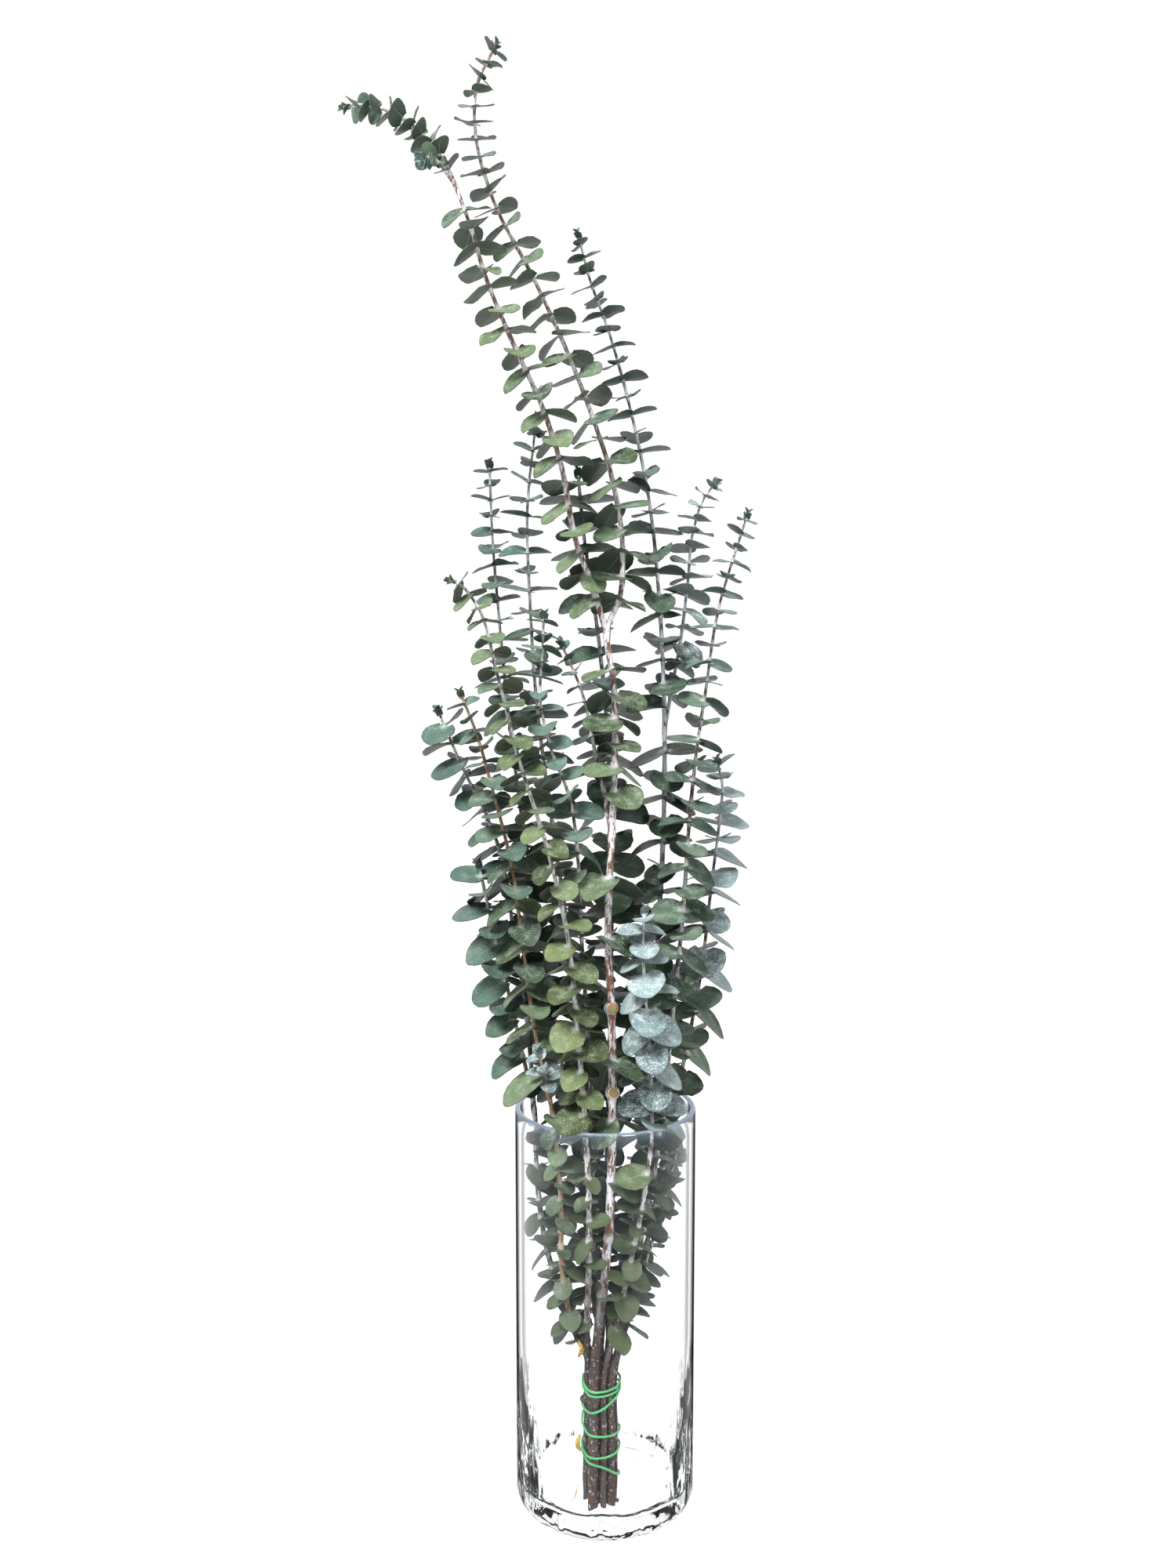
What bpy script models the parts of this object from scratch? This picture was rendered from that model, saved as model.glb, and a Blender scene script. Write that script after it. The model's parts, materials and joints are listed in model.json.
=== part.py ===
"""A tied bunch of eucalyptus branches standing in a clear glass cylinder vase.

Metres, +Z up, origin on the table under the middle of the vase, viewer's side at -Y.
Lengths in the tables below are in millimetres. Each branch is one solid: a four-sided
stem with its leaves, side shoots and cut stubs growing out of its faces.
"""
import math
import random

import bmesh
import bpy
import numpy as np
from mathutils.bvhtree import BVHTree

MM = 0.001

# glass vase
VASE_RADIUS = 50.0
VASE_HEIGHT = 230.0
VASE_WALL = 3.0
VASE_BASE = 12.0
VASE_FOOT_ROUND = 10.0
VASE_FLOOR_ROUND = 8.0
VASE_RIM_ROUND = 1.2
VASE_SEGMENTS = 40

# tied bundle, which leans away from the viewer as it rises
FOOT_CENTRE = (-3.0, -27.0)
TIE_CENTRE = (-2.0, -24.5)
TIE_TOP = 92.0
FOOT_HEIGHT = VASE_BASE + 0.4

# twine: diameter, gap to the stems, distance between path points
TWINE_DIAMETER = 1.3
TWINE_GAP = 0.45
TWINE_STEP = 4.0
TWINE_SIDES = 5
# (turns from the front, height) of the winding, from its upper end to its lower one
TWINE_WINDING = [
    (-0.30, 85.0), (0.00, 81.5), (0.25, 84.0), (0.50, 84.5), (0.75, 81.5), (1.00, 79.0),
    (1.25, 81.0), (1.50, 78.5), (1.75, 70.5), (1.92, 70.0), (2.25, 79.5), (2.50, 72.0),
    (2.75, 61.5), (3.00, 56.5), (3.25, 56.0), (3.50, 53.0), (3.75, 47.5), (4.00, 44.5),
    (4.25, 46.5), (4.50, 47.0), (4.75, 45.5), (5.00, 39.5), (5.25, 30.0), (5.45, 28.0),
]

SCRAP_STEP = 1.6

# stems and leaves
ROUTE_STEP = 1.0
RING_GAP = 22.0
NODE_HALF = 0.8
FORK_CLEAR = 9.0
LEAF_CLEAR = 0.4
LEAF_ROOT_CLEAR = 0.1
LEAF_LEAN = 20.0            # degrees that blades at a stem's sides turn up to the viewer
LEAN_TOP = 600.0            # height where the blades no longer need to turn
LEAN_FADE = 300.0           # how far below it they turn in full
LEAF_LIFT = 13.0            # degrees that the lowest leaves are pushed up by the glass
LIFT_TOP = 140.0            # height up to which they are pushed up in full, and none at twice it

# ways a crowded leaf may give way: (tilt, turn, size), the first one that is clear is taken
LEAF_TRIES = [
    (0, 0, 1.0), (12, 0, 1.0), (-12, 0, 1.0), (0, 18, 0.95), (0, -18, 0.95), (24, 0, 0.9),
    (-24, 0, 0.9), (14, 24, 0.85), (14, -24, 0.85), (-14, 24, 0.85), (-14, -24, 0.85),
    (36, 0, 0.75), (-36, 0, 0.75), (0, 0, 0.7), (22, 0, 0.6), (-22, 0, 0.6), (0, 32, 0.55),
    (0, -32, 0.55), (0, 0, 0.45),
]

OLIVE = (0.16, 0.23, 0.13)
SAGE = (0.20, 0.29, 0.20)
BLUE = (0.24, 0.36, 0.34)
DEEP = (0.08, 0.14, 0.10)
BARK = (0.10, 0.07, 0.055)
MINT = (0.12, 0.62, 0.22)

# Each leaf zone: from, to (along the shoot), gap at its ends, leaf length at its ends,
# tilt in degrees at its ends (up is positive), width of a leaf over its length.
# `tie` is a stem's place in the bundle: degrees round it from the front, distance from its middle.
BRANCHES = [
    dict(name="branch_trunk", seed=11, tie=(-28, 8.9), radius=(3.2, 0.8), phase=42, tint=OLIVE,
         route=[(-4, -31, 115), (1, -33, 162), (3, -35, 217), (3, -32, 286), (1, -25, 333),
                (3, -17, 384), (5, -11, 431), (4, -7, 465), (1, -4, 494), (7, -3, 508),
                (9, -1, 531), (4, 2, 569), (-8, 5, 607), (-19, 6, 635), (-38, 6, 676),
                (-60, 3, 718), (-68, 0, 749), (-67, -2, 771), (-57, -4, 791)],
         leaves=[(122, 380, 33, 30, 23, 23, -14, -8, 1.05),
                 (396, None, 13, 6.5, 19.5, 9, -10, 30, 1.0)],
         stubs=[(64, 2.2, (-0.5, -1.0, 0.1)), (236, 3.1, (0.1, -1.0, 0.25)),
                (281, 3.1, (0.15, -1.0, 0.2))],
         shoots=[dict(at=372, radius=(1.5, 0.7), seed=12, tint=OLIVE,
                      route=[(-1, -9, 405), (-7, -2, 432), (-13, 2, 459), (-21, 4, 478), (-24, 3, 485)],
                      leaves=[(26, None, 10, 6, 13, 6, 0, 35, 0.9)]),
                 dict(at=481, radius=(1.9, 0.8), seed=13, tint=OLIVE,
                      route=[(-7, -6, 514), (-16, -8, 539), (-24, -10, 579), (-34, -11, 609),
                             (-48, -12, 639), (-62, -13, 672), (-72, -14, 704), (-86, -14, 734),
                             (-107, -14, 753), (-122, -14, 758), (-134, -14, 757)],
                      leaves=[(20, 236, 12.5, 9, 18.5, 15, -10, 10, 0.95),
                              (253, None, 6.5, 5, 11, 9, 30, 50, 1.15)],
                      shoots=[dict(at=242, radius=(1.0, 0.7), seed=14, tint=SAGE,
                                   route=[(-87, -22, 729), (-93, -33, 726)],
                                   leaves=[(9, None, 4.5, 3.5, 9, 5, 25, 45, 0.9)])])]),
    dict(name="branch_front_left", seed=21, tie=(-73, 8.0), radius=(2.2, 0.8), phase=42, tint=OLIVE,
         route=[(-10, -31, 117), (-9, -35, 150), (-9, -37, 190), (-11, -38, 229), (-15, -37, 279),
                (-20, -35, 330), (-30, -33, 375), (-46, -30, 426), (-57, -26, 469), (-69, -21, 507),
                (-77, -19, 516), (-82, -18, 518)],
         leaves=[(96, None, 11.8, 7.5, 17, 11, -12, 8, 1.05)],
         stubs=[(62, 2.2, (-0.75, -1.0, 0.1))]),
    dict(name="branch_front_right", seed=22, tie=(12, 8.0), radius=(1.9, 0.8), phase=8, tint=BLUE,
         route=[(6, -30, 117), (11, -33, 144), (19, -35, 185), (24, -36, 228), (23, -37, 271),
                (20, -37, 309), (19, -37, 334), (20, -37, 347)],
         leaves=[(104, 214, 10, 10, 15, 17, -12, -12, 1.0),
                 (222, None, 10.5, 6, 20, 11, -14, 20, 1.05)]),
    dict(name="branch_left_low", seed=23, tie=(-108, 8.0), radius=(2.0, 0.8), phase=12, tint=OLIVE,
         route=[(-18, -30, 117), (-23, -32, 148), (-24, -31, 192), (-28, -27, 230), (-37, -22, 271),
                (-44, -18, 318), (-51, -14, 368), (-61, -11, 408), (-70, -9, 439), (-78, -8, 459)],
         leaves=[(98, 228, 9, 9, 13, 14, -12, -10, 1.0), (238, 250, 9, 9, 25, 25, -8, -8, 1.0),
                 (262, None, 11, 7, 18, 9, -10, 20, 1.0)],
         shoots=[dict(at=236, radius=(1.1, 0.7), seed=24, tint=BLUE,
                      route=[(-33, -31, 257), (-36, -35, 271)],
                      leaves=[(10, None, 5, 4, 10, 6, 5, 35, 0.8)])]),
    dict(name="branch_centre_left", seed=25, tie=(-40, 2.8), radius=(2.0, 0.7), phase=0, tint=SAGE,
         route=[(-5, -22, 134), (-6, -20, 196), (-9, -20, 266), (-13, -21, 327), (-15, -20, 371),
                (-19, -19, 402), (-30, -17, 432), (-35, -15, 456), (-34, -12, 477), (-33, -9, 500)],
         leaves=[(100, 228, 10, 10, 15, 16, -12, -10, 1.0),
                 (239, None, 11.5, 6.5, 17.5, 9, -10, 20, 1.0)]),
    dict(name="branch_right", seed=26, tie=(47, 8.0), radius=(2.2, 0.7), phase=20, tint=SAGE,
         route=[(11, -22, 113), (17, -18, 147), (26, -15, 195), (32, -13, 238), (37, -9, 289),
                (42, -6, 338), (45, -3, 384), (49, -1, 426), (54, 1, 460), (61, 3, 505),
                (69, 4, 532), (76, 4, 554)],
         leaves=[(104, 238, 10.5, 10.5, 15, 16, -12, -8, 1.0),
                 (249, None, 12.2, 7.2, 19, 8, -10, 35, 1.0)],
         stubs=[(6, 1.3, (1.0, -0.2, 0.05))]),
    dict(name="branch_left_outer", seed=27, tie=(-143, 8.0), radius=(2.2, 0.9), phase=10, tint=DEEP,
         route=[(-17, -20, 114), (-31, -17, 151), (-37, -12, 189), (-39, -9, 228), (-47, -8, 268),
                (-55, -7, 304), (-62, -6, 334), (-69, -5, 366)],
         leaves=[(98, 232, 9.5, 9.5, 16, 18, -12, -12, 1.0),
                 (243, None, 11, 8, 20, 17, -12, 25, 1.0)],
         shoots=[dict(at=225, radius=(1.6, 0.8), seed=28, tint=DEEP,
                      route=[(-43, -2, 279), (-51, 4, 330), (-58, 6, 371), (-67, 6, 395),
                             (-78, 5, 417), (-85, 4, 434), (-91, 3, 449)],
                      leaves=[(26, None, 11, 9.5, 18, 18, -8, 20, 1.1)])]),
    dict(name="branch_tall_right", seed=31, tie=(80, 2.8), radius=(2.4, 0.7), phase=5, tint=DEEP,
         route=[(5, -16, 123), (12, -8, 156), (20, 0, 202), (25, 5, 255), (29, 8, 321),
                (32, 9, 386), (32, 10, 451), (29, 12, 510), (24, 13, 558), (12, 15, 615),
                (1, 17, 653), (-9, 18, 680), (-15, 18, 703)],
         leaves=[(104, 240, 11, 11, 16, 17, -10, -10, 1.0),
                 (252, None, 13, 7, 20, 9, -10, 35, 1.05)],
         shoots=[dict(at=430, radius=(1.2, 0.7), seed=32, tint=BLUE,
                      route=[(36, 14, 458), (41, 17, 485), (45, 19, 517), (48, 20, 546),
                             (54, 20, 564), (60, 20, 572)],
                      leaves=[(20, None, 9.5, 5.5, 16, 7, -5, 40, 1.0)])]),
    dict(name="branch_back_left", seed=33, tie=(180, 8.0), radius=(2.2, 0.7), phase=15, tint=DEEP,
         route=[(-7, -10, 130), (-11, 4, 187), (-15, 12, 253), (-21, 15, 324), (-30, 15, 390),
                (-38, 13, 455), (-41, 10, 506), (-42, 8, 561), (-39, 7, 589), (-37, 6, 604)],
         leaves=[(104, 236, 11.5, 11.5, 16, 17, -10, -10, 0.95),
                 (248, None, 13, 7.5, 19, 11, -10, 40, 0.85)]),
    dict(name="branch_back_middle", seed=34, tie=(-160, 2.8), radius=(2.0, 1.1), phase=0, tint=DEEP,
         route=[(0, -14, 131), (1, 0, 189), (3, 10, 276), (3, 14, 372), (0, 16, 451),
                (-7, 16, 511), (-12, 16, 544), (-15, 15, 577)],
         leaves=[(112, 240, 12, 12, 16, 18, -10, -10, 1.05),
                 (254, None, 14.5, 13.5, 21, 21, -12, 25, 1.1)]),
    dict(name="branch_far_left", seed=35, tie=(145, 8.0), radius=(2.1, 0.7), phase=-10, tint=DEEP,
         route=[(-1, -4, 130), (-14, 14, 186), (-26, 22, 255), (-36, 25, 322), (-47, 26, 389),
                (-55, 25, 457), (-59, 23, 502), (-62, 20, 545), (-63, 17, 582)],
         leaves=[(106, 240, 11.5, 11.5, 16, 17, -10, -10, 1.0),
                 (252, None, 13, 7.2, 19, 9, -10, 35, 1.0)]),
    dict(name="branch_far_right", seed=36, tie=(110, 8.0), radius=(2.1, 0.8), phase=12, tint=BLUE,
         route=[(10, -14, 112), (21, -2, 142), (29, 6, 174), (36, 13, 212), (45, 18, 251),
                (54, 20, 300), (60, 20, 354), (64, 20, 389), (65, 20, 407), (62, 20, 420)],
         leaves=[(102, 230, 10.5, 10.5, 15, 17, -10, -10, 1.0),
                 (241, None, 12, 6.5, 21.5, 12, -12, 30, 1.1)]),
    dict(name="branch_short_right", seed=37, tie=(78, 8.2), radius=(1.5, 0.7), phase=18, tint=BLUE,
         route=[(12, -18, 111), (21, -12, 140), (30, -8, 169), (37, -6, 196), (41, -6, 213)],
         leaves=[(118, None, 9.5, 5, 14, 8, -8, 35, 0.9)]),
]

# small dry pieces caught at the tie: name, points and thickest radius
SCRAPS = [
    ("dry_bract_upper", [(-14.5, -36.0, 102), (-12.8, -37.5, 107), (-14.5, -38.5, 112)], 1.1),
    ("dry_bract_lower", [(-13.5, -36.5, 49), (-15.0, -37.5, 54), (-13.5, -38.0, 59)], 1.2),
    ("bark_splinter", [(-17.8, -28.0, 12.8), (-16.2, -27.5, 19), (-15.2, -27.0, 25)], 0.8),
]


def unit(vector):
    return vector / np.linalg.norm(vector)


def turned(vector, axis, degrees):
    """Rodrigues rotation of a vector about a unit axis."""
    angle = math.radians(degrees)
    along = axis * np.dot(axis, vector)
    return along + (vector - along) * math.cos(angle) + np.cross(axis, vector) * math.sin(angle)


def smooth_line(points, step):
    """Cubic Hermite curve through the points, slopes by finite differences over the chords."""
    points = np.array(points, dtype=float)
    chord = np.append(0.0, np.cumsum(np.linalg.norm(np.diff(points, axis=0), axis=1)))
    slopes = np.gradient(points, chord, axis=0)
    at = np.linspace(0.0, chord[-1], max(3, int(chord[-1] / step) + 1))
    index = np.clip(np.searchsorted(chord, at, side="right") - 1, 0, len(points) - 2)
    span = (chord[index + 1] - chord[index])[:, None]
    u = (at - chord[index])[:, None] / span
    start, end = points[index], points[index + 1]
    return ((2 * u**3 - 3 * u**2 + 1) * start + (u**3 - 2 * u**2 + u) * span * slopes[index]
            + (3 * u**2 - 2 * u**3) * end + (u**3 - u**2) * span * slopes[index + 1])


def tie_place(branch, height):
    """Middle of a stem in the bundle at a height."""
    degrees, distance = branch["tie"]
    rise = (height - FOOT_HEIGHT) / (TIE_TOP - FOOT_HEIGHT)
    centre = np.array(FOOT_CENTRE) * (1 - rise) + np.array(TIE_CENTRE) * rise
    angle = math.radians(degrees)
    return (centre[0] + distance * math.sin(angle), centre[1] - distance * math.cos(angle), height)


class Shoot:
    """A stem or side shoot: its line, its frames along the line, and what grows on it."""

    def __init__(self, spec, points, front):
        self.spec = spec
        self.line = smooth_line(points, ROUTE_STEP)
        steps = np.linalg.norm(np.diff(self.line, axis=0), axis=1)
        self.along = np.append(0.0, np.cumsum(steps))
        self.length = self.along[-1]
        self.tangents = np.gradient(self.line, self.along, axis=0)
        self.tangents /= np.linalg.norm(self.tangents, axis=1)[:, None]
        self.fronts = np.empty_like(self.line)
        for i, tangent in enumerate(self.tangents):
            front = unit(front - tangent * np.dot(front, tangent))
            self.fronts[i] = front
        self.first = 0.0
        self.events = []

    def frame(self, at):
        """Point, tangent and front direction at a distance along the line."""
        columns = [self.line, self.tangents, self.fronts]
        point, tangent, front = [np.array([np.interp(at, self.along, column[:, axis])
                                           for axis in range(3)]) for column in columns]
        tangent = unit(tangent)
        return point, tangent, unit(front - tangent * np.dot(front, tangent))

    def radius(self, at):
        foot, tip = self.spec["radius"]
        return foot + (tip - foot) * at / self.length

    def ring(self, at, twist):
        """Four corners, the first two on either side of the turned front direction."""
        point, tangent, front = self.frame(at)
        front = turned(front, tangent, twist)
        side = np.cross(tangent, front)
        corner = self.radius(at) / math.sqrt(2)
        return [point + corner * (front - side), point + corner * (front + side),
                point + corner * (side - front), point - corner * (front + side)]

    def face_directions(self, at, twist):
        point, tangent, front = self.frame(at)
        front = turned(front, tangent, twist)
        side = np.cross(tangent, front)
        return point, tangent, [front, side, -front, -side]


def leaf_places(zone, length):
    """Distances along a shoot where its leaf pairs grow, with how far through the zone each is."""
    start, end, gap_start, gap_end = zone[:4]
    end = (length - 2.5) if end is None else end
    places = []
    at = start
    while at < end:
        share = (at - start) / (end - start)
        places.append((at, share))
        at += gap_start + (gap_end - gap_start) * share**2.5
    return places


def plan_events(shoot):
    """Everything along the shoot, in order: leaf pairs, forks and cut stubs."""
    spec = shoot.spec
    events = [dict(at=fork["at"], kind="fork", half=fork["radius"][0], child=fork)
              for fork in spec.get("shoots", [])]
    events += [dict(at=at, kind="stub", half=radius * 0.8, radius=radius, aim=unit(np.array(aim)))
               for at, radius, aim in spec.get("stubs", [])]
    taken = [event["at"] for event in events]
    draw = random.Random(spec["seed"])
    for zone in spec["leaves"]:
        _, _, _, _, size_start, size_end, tilt_start, tilt_end, width = zone
        for number, (at, share) in enumerate(leaf_places(zone, shoot.length)):
            size = size_start + (size_end - size_start) * share**3
            tilt = tilt_start + (tilt_end - tilt_start) * share**2
            pair = [dict(size=size * draw.uniform(0.88, 1.12), width=width * draw.uniform(0.9, 1.1),
                         tilt=tilt + draw.uniform(-14, 14), turn=draw.uniform(-12, 12),
                         roll=draw.uniform(-20, 20), cup=draw.uniform(-0.06, 0.12))
                    for _ in range(2)]
            twist = draw.uniform(-9, 9)
            if all(abs(at - other) > FORK_CLEAR for other in taken):
                half = min(NODE_HALF, size * 0.07)
                events.append(dict(at=at, kind="pair", half=half, pair=pair, odd=number % 2,
                                   twist=twist, share=share))
    events.sort(key=lambda event: event["at"])
    shoot.events = events


def plan_shoots(branch):
    """The main stem of a branch and all its side shoots, parents first."""
    foot = tie_place(branch, FOOT_HEIGHT)
    middle = tie_place(branch, (FOOT_HEIGHT + TIE_TOP) / 2)
    points = [foot, middle, tie_place(branch, TIE_TOP)] + branch["route"]
    front = turned(np.array([0.0, -1.0, 0.0]), np.array([0.0, 0.0, 1.0]), branch["phase"])
    main = Shoot(branch, points, front)
    shoots = [main]
    for parent in shoots:
        plan_events(parent)
        for event in parent.events:
            if event["kind"] != "fork":
                continue
            point, tangent, _ = parent.frame(event["at"])
            child = Shoot(event["child"], [tuple(point)] + event["child"]["route"], -tangent)
            reach = np.linalg.norm(child.line[:, None] - parent.line[None], axis=2).min(axis=1)
            clear = parent.radius(event["at"]) + 1.3 * child.radius(0.0)
            child.first = child.along[np.argmax(reach > clear)]
            event["shoot"] = child
            shoots.append(child)
    return shoots


def leaf_edge(leaf, attempt):
    """Shoulder, side, tip, side and shoulder of a leaf, and its upward normal."""
    tilt_more, turn_more, scale = attempt
    tilt = math.radians(leaf["tilt"] + leaf["lift"] + tilt_more)
    out = turned(leaf["out"], leaf["stem"], leaf["turn"] + turn_more)
    along = math.cos(tilt) * out + math.sin(tilt) * leaf["stem"]
    along = unit(along - np.array([0.0, 0.0, leaf["sag"]]))
    side = np.cross(leaf["stem"], out)
    side = unit(side - along * np.dot(side, along))
    facing = np.dot(np.cross(along, np.cross(along, side)), np.array([0.0, -1.0, 0.0]))
    side = turned(side, along, leaf["roll"] + leaf["lean"] * facing)
    up = np.cross(along, side)
    length = leaf["size"] * scale
    half = 0.5 * length * leaf["width"]
    root = leaf["root"]
    lift = up * (leaf["cup"] * 2 * half)
    return [root + along * 0.30 * length - side * 0.94 * half + lift,
            root + along * 0.74 * length - side * 0.74 * half + lift,
            root + along * length - up * 0.06 * length,
            root + along * 0.74 * length + side * 0.74 * half + lift,
            root + along * 0.30 * length + side * 0.94 * half + lift], up


def mesh_tree(points, faces):
    return BVHTree.FromPolygons([tuple(point) for point in points], faces)


# points of a leaf: upper root corners 0 and 1, edge 2 to 6, lower root corners 7 and 8
LEAF_TOP = [(0, 2, 3), (0, 3, 4), (0, 4, 1), (1, 4, 5), (1, 5, 6)]
LEAF_BELOW = [(7, 3, 2), (7, 4, 3), (7, 8, 4), (8, 5, 4), (8, 6, 5)]
LEAF_SIDES = [(0, 7, 2), (1, 6, 8)]

# points of a slab: upper outline 0 to 6 and lower outline 7 to 13, each from root to root
SLAB_TOP = [(0, 1, 2), (0, 2, 3), (0, 3, 6), (6, 3, 4), (6, 4, 5)]
SLAB_FACES = (SLAB_TOP + [(7 + c, 7 + b, 7 + a) for a, b, c in SLAB_TOP]
              + [(i, i + 7, (i + 1) % 7 + 7, (i + 1) % 7) for i in range(7)])


def leaf_slab(patch, edge, up, grow):
    """The leaf made `grow` thicker and wider all round, standing off its stem."""
    low_left, low_right, high_right, high_left = patch
    left, right = (low_left + high_left) / 2, (low_right + high_right) / 2
    off = unit(edge[2] - (left + right) / 2) * LEAF_ROOT_CLEAR
    outline = np.array([left + off] + edge + [right + off])
    centre = outline.mean(axis=0)
    reach = outline - centre
    outline = centre + reach * (1 + grow / np.linalg.norm(reach, axis=1))[:, None]
    rise = np.zeros_like(outline)
    rise[0], rise[-1] = high_left - left, high_right - right
    return np.vstack([outline + rise + up * grow, outline - rise - up * grow]), SLAB_FACES


def leaf_solid(patch, edge):
    """Points in the order of the LEAF_ faces: upper corners, edge, lower corners."""
    low_left, low_right, high_right, high_left = patch
    points = np.array([high_left, high_right] + edge + [low_left, low_right])
    return points, LEAF_TOP + LEAF_BELOW + LEAF_SIDES + [(0, 1, 8, 7)]


class Crowd:
    """Everything already in place, which the next leaf has to keep clear of."""

    def __init__(self, solids):
        self.solids = solids
        self.trees = []
        self.spheres = np.empty((0, 4))

    def is_clear(self, points, faces, own):
        centre = points.mean(axis=0)
        radius = np.linalg.norm(points - centre, axis=1).max()
        tree = mesh_tree(points, faces)
        for name, solid in self.solids.items():
            if name != own and tree.overlap(solid):
                return False
        if len(self.trees):
            reach = np.linalg.norm(self.spheres[:, :3] - centre, axis=1)
            for index in np.nonzero(reach < self.spheres[:, 3] + radius)[0]:
                if tree.overlap(self.trees[index]):
                    return False
        return True

    def add(self, points, faces):
        centre = points.mean(axis=0)
        radius = np.linalg.norm(points - centre, axis=1).max()
        self.trees.append(mesh_tree(points, faces))
        self.spheres = np.vstack([self.spheres, np.append(centre, radius)])


def shoot_rings(shoot):
    """Ring stations along a shoot: (distance, twist, event number or None for a plain ring)."""
    stations = [(shoot.first, 0.0, None)]
    twist = 0.0
    for number, event in enumerate(shoot.events):
        if event["at"] - event["half"] < stations[-1][0] + 1.5:
            continue
        gap = event["at"] - stations[-1][0]
        plain = int(gap / RING_GAP)
        before = stations[-1][0]
        for i in range(plain):
            stations.append((before + gap * (i + 1) / (plain + 1), twist, None))
        if event["kind"] == "pair":
            twist = event["twist"]
        event["ring_twist"] = twist
        stations.append((event["at"] - event["half"], twist, None))
        stations.append((event["at"] + event["half"], twist, number))
    if shoot.length - stations[-1][0] > 1.0:
        stations.append((shoot.length, twist, None))
    return stations


def stub_rings(event, shoot):
    """Two square rings along a cut side branch: where it has left the stem, and its cut."""
    point, tangent, _ = shoot.frame(event["at"])
    aim = event["aim"]
    front = unit(-tangent + aim * np.dot(tangent, aim))
    side = np.cross(aim, front)
    corner = event["radius"] / math.sqrt(2)
    rings = []
    for out in (0.8, 2.2):
        middle = point + aim * (shoot.radius(event["at"]) + out)
        rings.append([middle + corner * (front - side), middle + corner * (front + side),
                      middle + corner * (side - front), middle - corner * (front + side)])
    return rings


def stem_tree(shoot):
    """The stem with its stubs; a side shoot's stem starts inside its parent."""
    chains = [[shoot.ring(at, twist) for at, twist, _ in shoot_rings(shoot)]]
    if shoot.first > 0:
        chains[0].insert(0, shoot.ring(0.0, 0.0))
    chains += [stub_rings(event, shoot) for event in shoot.events if event["kind"] == "stub"]
    body = Solid()
    for chain in chains:
        before = body.add_points(chain[0])
        for corners in chain[1:]:
            ring = body.add_points(corners)
            body.join(before, ring)
            before = ring
    return mesh_tree(body.points, body.faces)


def pair_faces(event):
    return (1, 3) if event["odd"] else (0, 2)


def place_leaves(all_shoots, crowd):
    """Choose for every leaf the first way to grow that is clear of everything before it."""
    for name, shoot in all_shoots:
        stations = shoot_rings(shoot)
        used = {number for _, _, number in stations if number is not None}
        for number, event in reversed(list(enumerate(shoot.events))):
            if number not in used or event["kind"] != "pair":
                continue
            low = shoot.ring(event["at"] - event["half"], event["ring_twist"])
            high = shoot.ring(event["at"] + event["half"], event["ring_twist"])
            _, tangent, directions = shoot.face_directions(event["at"], event["ring_twist"])
            for leaf, k in zip(event["pair"], pair_faces(event)):
                patch = [low[k], low[(k + 1) % 4], high[(k + 1) % 4], high[k]]
                root = np.mean(patch, axis=0)
                leaf.update(root=root, out=directions[k], stem=tangent,
                            sag=0.12 + 0.25 * event["share"],
                            lift=LEAF_LIFT * np.clip(2 - root[2] / LIFT_TOP, 0.0, 1.0),
                            lean=LEAF_LEAN * np.clip(root[2] / LIFT_TOP - 0.7, 0.2, 1.0)
                            * np.clip((LEAN_TOP - root[2]) / LEAN_FADE, 0.3, 1.0))
                leaf["edge"] = None
                for attempt in LEAF_TRIES:
                    edge, up = leaf_edge(leaf, attempt)
                    if crowd.is_clear(*leaf_slab(patch, edge, up, LEAF_CLEAR), name):
                        leaf["edge"] = edge
                        crowd.add(*leaf_solid(patch, edge))
                        break


class Solid:
    """Points and faces of one closed body, in millimetres."""

    def __init__(self):
        self.points = []
        self.faces = []

    def add_points(self, points):
        start = len(self.points)
        self.points += [tuple(point) for point in points]
        return list(range(start, start + len(points)))

    def join(self, low, high, open_faces=()):
        count = len(low)
        for k in range(count):
            if k not in open_faces:
                after = (k + 1) % count
                self.faces.append((low[k], low[after], high[after], high[k]))


def grow_leaf(solid, patch, edge):
    low_left, low_right, high_right, high_left = patch
    points = [high_left, high_right] + solid.add_points(edge) + [low_left, low_right]
    for face in LEAF_TOP + LEAF_BELOW + LEAF_SIDES:
        solid.faces.append(tuple(points[i] for i in face))


def grow_stub(solid, patch, event, shoot):
    """A short cut-off side branch: two rings from the patch, closed by a flat cut."""
    before = patch
    for corners in stub_rings(event, shoot):
        ring = solid.add_points(corners)
        solid.join(before, ring)
        before = ring
    solid.faces.append(tuple(before))


def nearest_face(directions, aim):
    return int(np.argmax([np.dot(direction, aim) for direction in directions]))


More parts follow.
